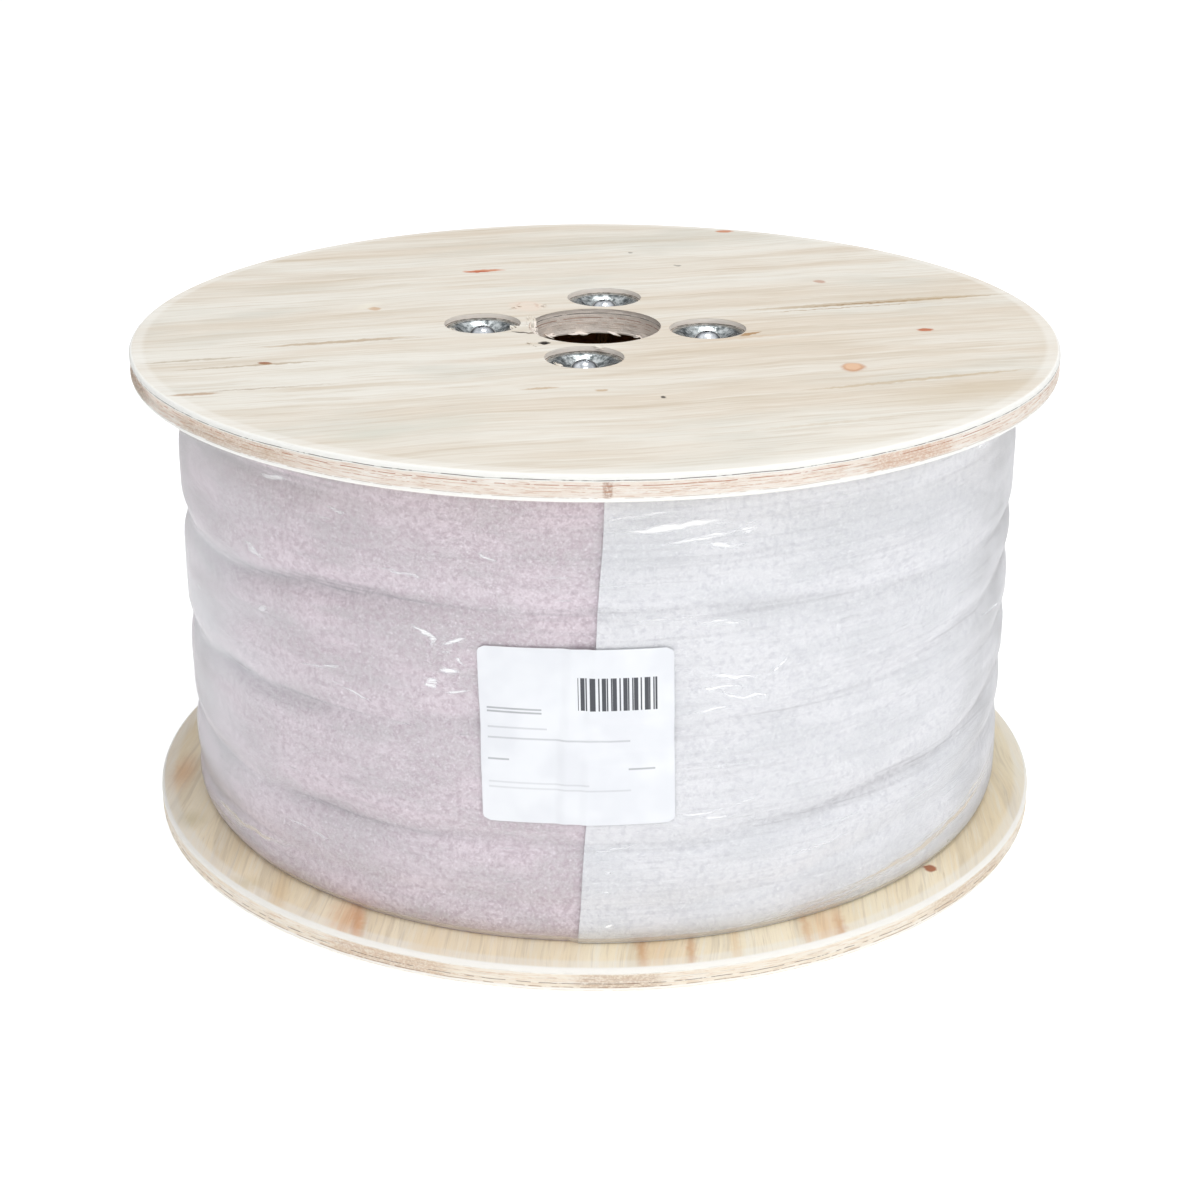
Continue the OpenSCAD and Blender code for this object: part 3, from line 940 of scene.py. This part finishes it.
sleeve_r = 5.25 * MM
sleeve_l = 28 * MM
sleeve_bore = 4.15 * MM
nut_profile = [(sleeve_bore, -0.2 * MM), (sleeve_bore, -sleeve_l), (sleeve_r - 0.3 * MM, -sleeve_l),
               (sleeve_r, -sleeve_l + 0.3 * MM), (sleeve_r, 0.0), (head_r - 0.2 * MM, 0.0),
               (head_r, 0.2 * MM)]
nut_pattern = turned("nut_pattern", nut_profile + dome(), 64)
axis_map(cross_cut(nut_pattern))
print("bolt pattern", len(bolt_pattern.data.polygons), "nut pattern", len(nut_pattern.data.polygons))

for i, place in zip(bolts, bolt_places):
    bolt = placed_copy(bolt_pattern, f"bolt_{i}", (place.x, place.y, seat_z))
    nut = placed_copy(nut_pattern, f"nut_{i}", (place.x, place.y, top_high.z - seat_z), True)
    for part, node in ((bolt, f"tie_bolt_{i}"), (nut, f"sleeve_nut_{i}")):
        part.data.materials.append(zinc_steel)
        finished(part, "plated_steel", node)
bpy.data.objects.remove(bolt_pattern)
bpy.data.objects.remove(nut_pattern)

# %% [markdown]
# ## Barrel and cable
#
# The barrel is wound from kraft board in a spiral, and shows through the arbor bore. The cable is hidden by
# its packing. Both nodes have the right shape already, so they keep it and get a finish.

# %% Board and cable
def kraft_board():
    """Brown board with fine fibres and the spiral seams of its winding."""
    material, shader, place = new_material("kraft_board")
    turn = along(place, "Y").math("ARCTAN2", along(place, "X")) / (2 * math.pi)
    climb = (along(place, "Z") / 0.11 + turn).math("FRACT")
    seam = step(abs(climb - 0.5), 0.012, 0.004)
    fibres = patches(place, (0.004, 0.004, 0.0007), detail=4.0, roughness=0.7)
    clouds = patches(place, (0.03, 0.03, 0.03), detail=3.0)
    board = tint(step(clouds, 0.35, 0.65), shade(176, 128, 84), shade(150, 104, 66))
    board = tint(step(fibres, 0.5, 0.75, 0.0, 0.5), board, shade(120, 80, 48))
    feed(tint(seam * 0.7, board, shade(84, 54, 32)), shader, "Base Color")
    feed(step(fibres, 0.3, 0.7, 0.75, 0.92), shader, "Roughness")
    bump(shader, fibres * 0.5 - seam * 0.6, 0.3 * MM, 0.7)
    return material


def cable_jacket():
    """Red rubbery jacket with faint scuffs round the winding."""
    material, shader, place = new_material("cable_jacket")
    scuffs = patches(place, (0.010, 0.010, 0.0012), detail=3.0)
    feed(tint(step(scuffs, 0.45, 0.75), shade(178, 34, 32), shade(206, 74, 68)), shader, "Base Color")
    feed(step(scuffs, 0.3, 0.7, 0.38, 0.60), shader, "Roughness")
    bump(shader, scuffs, 0.1 * MM, 0.4)
    return material


for node, material in (("barrel", kraft_board()), ("cable_coil", cable_jacket())):
    piece = frame["nodes"][node]
    piece.data.materials.clear()
    piece.data.materials.append(material)
    print(node, "is now", material.name)

# %% [markdown]
# ## The shape of the packing
#
# Cable is never wound quite level, so its packing shows soft ridges, and valleys between them that climb a
# little round the drum. One function gives the depth of the valleys at any place, and the foam, the film and
# the label all use it, each lying a little outside the one below. Angles here run anticlockwise from +X, so
# the front of the drum is at -90 degrees.

# %% Ridges and valleys
foam_low, foam_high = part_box("foam_wrap")
coil_low, coil_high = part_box("cable_coil")
foam_t = 1.3 * MM
front = -90.0
lap = 150.0
wind_r = coil_high.x
ridge_pitch = 44 * MM
ridge_h = 2.4 * MM

valleys = [
    # heights and depths in mm at the left, the front, the right and the back of the drum, and half-width
    ((203, 206, 200, 198), (4.6, 0.8, 1.8, 1.6), 9.5),
    ((152, 166, 154, 150), (4.2, 2.8, 3.4, 3.0), 6.5),
    ((101, 112, 133, 118), (4.2, 2.4, 3.4, 3.2), 7.0),
    ((104, 106, 106, 104), (0.3, 0.5, 3.2, 0.6), 6.5),
    ((55, 59, 80, 66), (4.2, 2.8, 3.4, 3.2), 6.5),
    ((28, 32, 56, 40), (2.2, 1.6, 3.2, 1.8), 6.5),
]
deepest = 4.2 * MM


def round_drum(values, angle):
    """Blends four values, at the left, the front, the right and the back, by the angle in degrees."""
    quarter = ((angle - 180) % 360) / 90
    first = int(quarter) % 4
    share = quarter - int(quarter)
    share = share * share * (3 - 2 * share)
    return values[first] * (1 - share) + values[(first + 1) % 4] * share


def round_noise(angle, waves, level):
    """Noise from -1 to 1 that closes on itself round the drum, finer with more waves."""
    turn = math.radians(angle)
    return noise.noise(Vector((waves * math.cos(turn), waves * math.sin(turn), level)))


def valley_depth(angle, z):
    """How far a place lies below the ridges, in metres."""
    depth = 0.0
    for heights, depths, width in valleys:
        wander = 4 * round_noise(angle, 2.4, heights[0]) + 2 * round_noise(angle, 6, heights[1])
        away = (z / MM - round_drum(heights, angle) - wander) / width
        bowl = math.exp(-away * away)
        crease = math.exp(-abs(away) * 4.5)
        fade = 0.80 + 0.75 * round_noise(angle, 3.1, heights[2])
        depth += fade * round_drum(depths, angle) * (0.75 * bowl + 0.25 * crease)
    depth += 0.7 * round_noise(angle, 3.4, z / 0.024)
    return max(0.0, min(depth * MM, deepest))


def coil_radius(z):
    """Radius of the winding below the foam at a height."""
    up = min(1.0, max(0.0, (z - coil_low.z) / (coil_high.z - coil_low.z)))
    wave = 0.5 - 0.5 * math.cos(2 * math.pi * (z - coil_low.z) / ridge_pitch)
    return wind_r - ridge_h * (1 - wave * math.sqrt(math.sin(math.pi * up)))


def hold(first, second, softness=0.5 * MM):
    """The higher of two values, with a soft change from one to the other."""
    return 0.5 * (first + second + math.sqrt((first - second) ** 2 + softness ** 2))


def inner_radius(angle, z):
    """Inner face of the first layer of foam: on the ridges, but never inside the winding."""
    ends = min(z - foam_low.z, foam_high.z - z) / (9 * MM)
    tuck = 3.0 * MM * (1 - min(1.0, max(0.0, ends))) ** 2
    return hold(coil_radius(z) + 0.3 * MM, wind_r + 2.4 * MM - valley_depth(angle, z) - tuck)


def edge_angle(z):
    """The foam's outer edge leans a little from the bottom to the top."""
    up = (z - foam_low.z) / (foam_high.z - foam_low.z)
    return front - 2.0 + 3.2 * up + 0.25 * noise.noise(Vector((z / 0.03, 0, 7)))


def smooth_share(value, low, high):
    share = min(1.0, max(0.0, (value - low) / (high - low)))
    return share * share * (3 - 2 * share)


def outer_lift(angle, z):
    """How far the second layer lies outside the first: its thickness and a little air over the ridges."""
    calm = 1 - valley_depth(angle, z) / deepest
    return foam_t + 0.1 * MM + 0.4 * MM * calm


def placed_at(radius, angle, z):
    return (radius * math.cos(math.radians(angle)), radius * math.sin(math.radians(angle)), z)


print("foam from", foam_low.z, "to", foam_high.z, "on a winding of radius", round(wind_r, 4))

# %% [markdown]
# ## Sheets
#
# A sheet is a grid whose rows and columns follow its own width and length, bent over the drum by a formula
# and given its thickness by a Solidify modifier. Its UV map holds real lengths, so its pattern follows the
# sheet round the drum.

# %% A sheet from a formula
def sheet_from(name, columns, rows, place, flat, thickness, closed=False, inside=0):
    """A thin closed sheet. `place` gives a point from two shares, along and across the sheet.

    `inside` is the number of the material slot that its inner face gets.
    """
    across = rows + 1
    lines = columns if closed else columns + 1
    points = [place(i / columns, j / rows) for i in range(lines) for j in range(across)]
    faces = []
    for i in range(columns):
        nxt = (i + 1) % columns if closed else i + 1
        for j in range(rows):
            faces.append((i * across + j, nxt * across + j, nxt * across + j + 1, i * across + j + 1))
    mesh = bpy.data.meshes.new(name)
    mesh.from_pydata(points, [], faces)
    layer = mesh.uv_layers.new(name="lengths")
    for face, polygon in enumerate(mesh.polygons):
        i, j = divmod(face, rows)
        for corner, (u, v) in zip(polygon.loop_indices, ((i, j), (i + 1, j), (i + 1, j + 1), (i, j + 1))):
            layer.data[corner].uv = (u / columns * flat[1], v / rows * flat[0])
    piece = bpy.data.objects.new(name, mesh)
    bpy.context.scene.collection.objects.link(piece)
    for _ in range(inside + 1):
        piece.data.materials.append(None)
    apply_modifier(
        piece, "SOLIDIFY", thickness=thickness, offset=1.0, use_even_offset=True, material_offset=inside)
    piece.data.materials.clear()
    return smooth(piece, 60)


# %% [markdown]
# ## Foam sheet
#
# Packing foam is a soft white sheet with fine cells. This one goes once round the cable and on over itself
# for some 150 degrees. Where it lies in one layer the red cable tints it a pinkish lilac, and where it lies
# in two it is a cool white. Shade is painted on it: grey in the valleys and along fine folds, a painted
# shadow under the upper flange at the left, and painted shade at both sides. Tiny white specks are painted
# sparkle.

# %% Foam
def foam_material(lap_length):
    material, shader, place = new_material("cell_foam")
    lengths = place.node("UVMap", {"uv_map": "lengths"})
    valley = place.node("Attribute", {"attribute_name": "valley"}, out=2)
    double = step(along(lengths, "X"), lap_length + 0.4 * MM, lap_length - 0.4 * MM)
    cells = patches(place, (0.0010, 0.0010, 0.0010), detail=2.0, roughness=0.7)
    mottle = patches(place, (0.0030, 0.0030, 0.0026), detail=3.0, roughness=0.75, seed=0.4)
    clouds = patches(place, (0.045, 0.045, 0.018), detail=2.0, roughness=0.6, seed=0.9)
    painted_sparkle = patches(place, (0.0008, 0.0008, 0.0008), detail=1.0, seed=0.7)
    flat = lengths.node("CombineXYZ", {}, {0: along(lengths, "X"), 1: along(lengths, "Y")})
    folds = patches(flat, (0.090, 0.0018, 1.0), detail=3.0, roughness=0.65)
    single = tint(step(clouds, 0.35, 0.65), shade(220, 207, 214), shade(202, 194, 198))
    single = tint(step(mottle, 0.44, 0.62, 0.0, 0.75), single, shade(190, 172, 182))
    single = tint(step(cells, 0.52, 0.72, 0.0, 0.70), single, shade(240, 232, 238))
    single = tint(step(cells, 0.46, 0.30, 0.0, 0.55), single, shade(176, 160, 168))
    twice = tint(step(clouds, 0.35, 0.65), shade(228, 228, 231), shade(217, 218, 221))
    twice = tint(step(mottle, 0.46, 0.64, 0.0, 0.60), twice, shade(202, 202, 208))
    twice = tint(step(cells, 0.52, 0.72, 0.0, 0.60), twice, shade(247, 248, 250))
    foam = tint(double, single, twice)
    # Painted shade: grey in the valleys, by their stored depth, and along fine fold lines, more in the
    # valleys.
    deep = step(valley, 0.22, 0.90)
    foam = tint(deep * step(mottle, 0.25, 0.60, 0.22, 0.50), foam, shade(150, 147, 150))
    foam = tint((0.12 + deep * 0.5) * step(folds, 0.50, 0.62), foam, shade(150, 147, 152))
    # Painted shade: the foam is greyed at both sides of the drum, broken up by cloudy noise.
    painted_side_shade = step(abs(along(place, "X")), 0.150, 0.192) * step(clouds, 0.30, 0.70, 0.22, 0.50)
    # Painted shadow: a grey band on the foam under the upper flange at the left, along the fold lines.
    painted_flange_shadow = step(along(place, "Z"), 0.194, 0.214) * step(along(place, "X"), -0.06, -0.17)
    foam = tint(most(painted_side_shade, painted_flange_shadow * step(folds, 0.35, 0.60, 0.25, 0.70)), foam, shade(148, 145, 144))
    # Painted highlights: tiny white specks that stand in for the foam's sparkle.
    foam = tint(step(painted_sparkle, 0.74, 0.82, 0.0, 0.80), foam, shade(252, 252, 253))
    feed(foam, shader, "Base Color")
    feed(step(cells, 0.3, 0.7, 0.62, 0.85), shader, "Roughness")
    shader.inputs["Specular IOR Level"].default_value = 0.35
    shader.inputs["Sheen Weight"].default_value = 0.15
    shader.inputs["Sheen Roughness"].default_value = 0.6
    bump(shader, cells * 0.5 + mottle * 0.5, 0.45 * MM, 0.9)
    return material


def mark_valleys(piece):
    """Stores how deep each point lies in a valley, from 0 on the ridges to 1, for the material."""
    depths = []
    for vertex in piece.data.vertices:
        angle = math.degrees(math.atan2(vertex.co.y, vertex.co.x))
        depths.append(valley_depth(angle, vertex.co.z) / deepest)
    attribute = piece.data.attributes.new("valley", "FLOAT", "POINT")
    attribute.data.foreach_set("value", depths)
    return piece


foam_turn = 360 + lap
foam_height = foam_high.z - foam_low.z


def foam_point(length_share, height_share):
    z = foam_low.z + foam_height * height_share
    gone = foam_turn * length_share
    angle = edge_angle(z) + gone
    under = smooth_share(gone, lap, lap + 6)
    outer = inner_radius(angle, z) + outer_lift(angle, z)
    first = inner_radius(angle, z)
    return placed_at(outer * (1 - under) + first * under, angle, z)


foam_length = math.radians(foam_turn) * (wind_r + 2 * foam_t)
foam_flat = (foam_height, foam_length)
foam = mark_valleys(sheet_from("foam_sheet", 460, 100, foam_point, foam_flat, foam_t))
foam.data.materials.append(foam_material(foam_length * lap / foam_turn))
finished(foam, "foam_sheet", "foam_wrap")
print("foam cut to", [round(x, 3) for x in foam_flat])

# %% [markdown]
# ## Stretch film
#
# Several turns of thin clear film hold the foam. What shows of it is its gloss: long creases that run round
# the drum and catch the light, and a milky look where many layers lie together. The bright creases are
# painted highlights, white streaks in the film's colour, and near the lower flange tan streaks are a painted
# reflection of the wood. So the film is a thin skin whose alpha is low, and higher in the creases and the
# painted streaks. Its inner face gets a plainer material that only passes the light on.

# %% Film
def lap_share(angle, z):
    """1 over the doubled foam and 0 elsewhere, with a short slope outside the foam's edge."""
    gone = (angle - edge_angle(z)) % 360
    if gone <= lap + 7:
        return 1 - smooth_share(gone, lap + 1, lap + 7)
    return smooth_share(gone, 358.4, 359.9)


def skin_radius(angle, z):
    """The outside of the foam, as the film feels it."""
    return inner_radius(angle, z) + foam_t + outer_lift(angle, z) * lap_share(angle, z)


def film_point(length_share, height_share):
    angle = 360 * length_share
    z = foam_low.z + foam_height * height_share
    crease = max(0.0, round_noise(angle + 400 * z, 2.6, z / 0.0042)) ** 2 * 0.35 * MM
    return placed_at(skin_radius(angle, z) + 0.25 * MM + crease, angle, z)


film_length = 2 * math.pi * (wind_r + 2.5 * foam_t)
# Painted highlights: white streaks drawn on the film where its creases catch the light.
glints = [
    # degrees right of the front, height, half-length and half-width in mm, turn, strength
    (9, 201, 30, 1.5, 3, 0.95), (13, 196, 24, 1.3, 8, 0.90), (15, 192, 12, 0.9, -2, 0.85),
    (18, 198, 5, 2.4, 30, 0.90), (5, 206, 16, 0.8, 4, 0.60), (15, 159, 14, 0.8, -3, 0.85),
    (8, 161, 16, 0.5, 2, 0.60), (-20.5, 151, 8, 0.9, -38, 0.90), (-17, 149, 6, 0.8, 22, 0.85),
    (-18, 135, 7, 1.0, 8, 0.90), (-20, 129, 4, 1.3, -25, 0.80), (-16.5, 127, 7, 0.7, 14, 0.80),
    (-17, 141, 8, 0.5, -30, 0.70), (17, 135, 13, 0.7, -11, 0.85), (15, 130, 12, 0.8, -4, 0.90),
    (18, 125, 15, 0.6, -13, 0.80), (22.5, 136, 7, 0.7, 38, 0.80), (14, 120, 10, 0.6, 6, 0.75),
    (13, 74, 13, 0.8, 2, 0.85), (15, 70, 11, 0.6, -6, 0.80), (19, 77, 9, 0.5, 12, 0.70),
    (1.6, 22, 3.4, 0.7, 20, 0.90), (1.0, 38, 3, 0.6, -15, 0.85), (1.4, 48, 3.6, 0.7, 5, 0.85),
    (2.2, 58, 12, 0.4, 8, 0.60), (-48, 167, 9, 2.2, -24, 0.45), (-47, 141, 8, 2.0, 30, 0.45),
    (-36, 126, 17, 0.7, 12, 0.60), (-31, 118, 14, 0.6, -16, 0.55), (-66, 130, 6, 0.7, 5, 0.70),
    (-44, 203, 12, 1.2, 5, 0.55), (-33, 197, 6, 0.9, -8, 0.65), (-12.5, 187, 5, 0.6, -20, 0.70),
    (-25, 176, 22, 0.5, -4, 0.45), (30, 48, 26, 0.5, 4, 0.45), (55, 18, 3, 1.2, 0, 0.85),
    (58, 205, 10, 1.2, -8, 0.60), (-40, 44, 20, 0.6, -3, 0.45), (66, 120, 16, 0.8, -10, 0.45),
]
# Painted reflection: tan streaks near the lower flange, where the film reflects the wood.
reflected_wood_lines = [
    (-56, 26, 60, 1.7, 5, 0.70), (-64, 20, 42, 1.1, 4, 0.60), (48, 26, 110, 2.2, 5, 0.75),
    (60, 33, 84, 1.0, 6, 0.55), (30, 18, 60, 1.0, 4, 0.50),
]


def drawn(flat, lines):
    """A mask of long thin ovals, each given by its place on the film."""
    mask = None
    for right, height, length, width, turn, strength in lines:
        u = ((front + right) % 360) / 360 * film_length
        v = height * MM - foam_low.z
        line = spot(flat, u, v, length * MM, 1.2 * width * MM, turn, 0.3) * strength
        mask = line if mask is None else most(mask, line)
    return mask


def film_material():
    material, shader, place = new_material("clear_film")
    lengths = place.node("UVMap", {"uv_map": "lengths"})
    flat = lengths.node("CombineXYZ", {}, {0: along(lengths, "X"), 1: along(lengths, "Y")})
    drift = flat.node("Mapping", {}, {0: flat, 2: (0, 0, math.radians(-2.5))})
    wide = patches(drift, (0.12, 0.030, 1.0), detail=2.0, seed=0.6)
    creases = patches(drift, (0.050, 0.0016, 1.0), detail=3.0, roughness=0.7)
    bent = patches(flat, (0.014, 0.006, 1.0), detail=2.0, seed=0.5)
    shaken = flat.node("CombineXYZ", {}, {0: (bent - 0.5) * 0.010, 1: (bent - 0.5) * 0.006})
    shaken = flat.node("VectorMath", {"operation": "ADD"}, {0: flat, 1: shaken})
    # Painted highlights: the glints, broken along the creases, make the film white and nearly opaque.
    shine = drawn(shaken, glints) * step(creases, 0.36, 0.50)
    # Painted highlights: faint white lines along the creases.
    faint_highlights = step(creases, 0.62, 0.74) * step(wide, 0.42, 0.60) * 0.45
    # Painted reflection of the lower flange's wood, tinted tan and half opaque.
    wood_reflection = drawn(shaken, reflected_wood_lines) * step(creases, 0.36, 0.56, 0.45, 1.0)
    hem = step(along(lengths, "Y"), 3.2 * MM, 2.2 * MM) * 0.45
    rim = place.node("LayerWeight", {}, {"Blend": 0.5}, out=1)
    milky = spot(flat, (front - 66) % 360 / 360 * film_length, foam_height * 0.55, 0.11, 0.14)
    haze = 0.03 + step(wide, 0.35, 0.75, 0.0, 0.05) + milky * step(wide, 0.30, 0.60, 0.12, 0.34)
    feed(most(haze + rim ** 4 * 0.06, shine * 0.95, faint_highlights, wood_reflection * 0.75, hem), shader, "Alpha")
    film = tint(most(shine, faint_highlights), shade(214, 216, 220), shade(255, 255, 255))
    feed(tint(most(wood_reflection, hem), film, shade(216, 198, 168)), shader, "Base Color")
    feed(step(wide, 0.3, 0.7, 0.12, 0.22), shader, "Roughness")
    shader.inputs["Specular IOR Level"].default_value = 0.8
    bump(shader, creases, 0.25 * MM, 0.6)
    return material


def film_inside():
    """The film's inner face, which only passes the light on."""
    material, shader, _ = new_material("clear_film_inside")
    shader.inputs["Base Color"].default_value = shade(226, 229, 233)
    shader.inputs["Alpha"].default_value = 0.02
    shader.inputs["Roughness"].default_value = 0.25
    return material


film_flat = (foam_height, film_length)
film = sheet_from("film_wrap", 400, 112, film_point, film_flat, 0.1 * MM, closed=True, inside=1)
film.data.materials.append(film_material())
film.data.materials.append(film_inside())
film.visible_shadow = False
film.visible_diffuse = False
finished(film, "clear_film", "stretch_film")
print("film cut to", [round(x, 3) for x in film_flat])

# %% [markdown]
# ## Label
#
# The label is a square of white paper with round corners, stuck on the film. It carries no words: a block of
# plain bars and a few thin grey rules stand where print would be.

# %% Label
label_low, label_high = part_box("label")
label_w = 80 * MM
label_h = label_high.z - label_low.z
label_mid_z = (label_low.z + label_high.z) / 2
label_angle = front - 2.2
label_tilt = math.radians(1.0)
corner_r = 3.0 * MM


def label_point(length_share, height_share):
    v = (height_share - 0.5) * label_h
    beyond = max(0.0, abs(v) - (label_h / 2 - corner_r))
    half = label_w / 2 - (corner_r - math.sqrt(max(0.0, corner_r ** 2 - beyond ** 2)))
    u = (2 * length_share - 1) * half
    around = u * math.cos(label_tilt) - v * math.sin(label_tilt)
    z = label_mid_z + v * math.cos(label_tilt) + u * math.sin(label_tilt)
    angle = label_angle + math.degrees(around / (wind_r + 3 * foam_t))
    near = [film_level(angle + da, z + dz) for da in (-2.5, 0, 2.5) for dz in (-7 * MM, 0, 7 * MM)]
    level = 0.55 * max(near) + 0.45 * sum(near) / len(near)
    wave = 0.12 * MM * round_noise(angle, 11, z / 0.030)
    return placed_at(max(level, film_level(angle, z) + 0.25 * MM) + wave + 0.25 * MM, angle, z)


def film_level(angle, z):
    x, y, _ = film_point(angle / 360, (z - foam_low.z) / foam_height)
    return math.hypot(x, y) + 0.1 * MM


def label_material():
    material, shader, place = new_material("label_paper")
    lengths = place.node("UVMap", {"uv_map": "lengths"})
    u = along(lengths, "X") / MM
    v = along(lengths, "Y") / MM
    in_block = step(u, 41.0, 41.1) * step(u, 73.1, 73.0) * step(v, 52.0, 52.1) * step(v, 66.6, 66.5)
    thin = step((u / 1.7).math("FRACT"), 0.36, 0.30)
    thick = step((u / 4.3 + 0.2).math("FRACT"), 0.42, 0.38)
    ink = in_block * most(thin, thick)
    for low, left, right, strength in (
        (51.4, 3, 26, 0.50), (49.8, 3, 26, 0.50), (42.6, 3, 28, 0.22), (38.0, 3, 62, 0.28),
        (28.6, 3, 12, 0.45), (25.5, 61, 72, 0.45), (18.2, 3, 45, 0.16), (15.8, 3, 62, 0.16),
    ):
        rule = step(abs(v - low), 0.45, 0.35) * step(u, left, left + 0.1) * step(u, right, right - 0.1)
        ink = most(ink, rule * strength)
    fibres = patches(place, (0.0009, 0.0009, 0.0009), detail=3.0)
    clouds = patches(place, (0.02, 0.02, 0.02), detail=2.0)
    paper = tint(step(clouds, 0.35, 0.65), shade(238, 240, 243), shade(231, 233, 237))
    feed(tint(ink, paper, shade(74, 76, 82)), shader, "Base Color")
    feed(step(fibres, 0.3, 0.7, 0.42, 0.55), shader, "Roughness")
    bump(shader, fibres * 0.3 + clouds * 0.7, 0.15 * MM, 0.5)
    return material


label_flat = (label_h, label_w)
label = sheet_from("paper_label", 64, 64, label_point, label_flat, 0.15 * MM)
label.data.materials.append(label_material())
finished(label, "label_paper", "label")

# %% [markdown]
# ## Studio
#
# The drum stands on a plain pale floor in soft light: two panels above, a large one at the right and a
# weaker one at the left. A narrow strip in front gives the film and the bolt heads their bright lines. The
# surroundings are bright above and in front and darker at both sides, so the wrap darkens there, and the
# floor glows a little away from the drum, so that it is an even white.

# %% Floor
bpy.ops.object.select_all(action="DESELECT")
bpy.ops.mesh.primitive_plane_add(size=24, location=(0, 6, 0))
floor = bpy.context.object
floor.name = "floor"
floor_material, floor_shader, floor_place = new_material("studio_floor")
feed(tint(patches(floor_place, (0.5, 0.5, 0.5)), shade(250, 250, 250), shade(252, 252, 252)),
     floor_shader, "Base Color")
floor_shader.inputs["Roughness"].default_value = 0.9
floor_shader.inputs["Specular IOR Level"].default_value = 0.1
far = floor_place.node("VectorMath", {"operation": "LENGTH"}, {0: floor_place}, out=1)
feed(tint(step(far, 0.4, 2.2, 0.10, 1.0), (0, 0, 0, 1), (1, 1, 1, 1)), floor_shader, "Emission Color")
floor_shader.inputs["Emission Strength"].default_value = 0.38
floor.data.materials.append(floor_material)

# %% Lights
def panel(name, place, target, size, power, colour=(1, 1, 1)):
    """A rectangular lamp that faces a target."""
    data = bpy.data.lights.new(name, "AREA")
    data.shape = "RECTANGLE"
    data.size, data.size_y = size
    data.energy = power
    data.color = colour
    lamp = bpy.data.objects.new(name, data)
    lamp.location = place
    lamp.rotation_euler = (Vector(target) - Vector(place)).to_track_quat("-Z", "Y").to_euler()
    bpy.context.scene.collection.objects.link(lamp)
    return lamp


middle = (0, 0, top_high.z / 2)
panel("back_panel", (0.10, 0.42, 1.70), middle, (0.5, 0.4), 4.5)
panel("top_panel", (0.25, -0.60, 1.75), middle, (0.6, 0.6), 5.5)
panel("right_panel", (1.5, -1.5, 1.2), middle, (0.9, 1.2), 6.5)
panel("left_panel", (-1.5, -1.6, 1.1), middle, (0.7, 0.9), 1.4)
panel("front_strip", (0.12, -1.9, 1.5), middle, (0.16, 0.9), 3)

world = bpy.data.worlds.new("studio")
world.use_nodes = True
background = world.node_tree.nodes["Background"]
way = Flow(world.node_tree).node("TexCoord")
overhead = step(along(way, "Z"), 0.26, 0.85)
ahead = step(along(way, "Y"), -0.10, -0.85)
feed(tint(most(overhead, ahead * 0.45), shade(124, 127, 132), shade(252, 253, 255)), background, "Color")
sides = step(abs(along(way, "X")), 0.25, 0.85) * (1 - overhead)
feed((0.68 + overhead * 0.30 + ahead * 0.30) * (1 - sides * 0.80), background, "Strength")
bpy.context.scene.world = world
bpy.context.scene.view_settings.view_transform = "Standard"
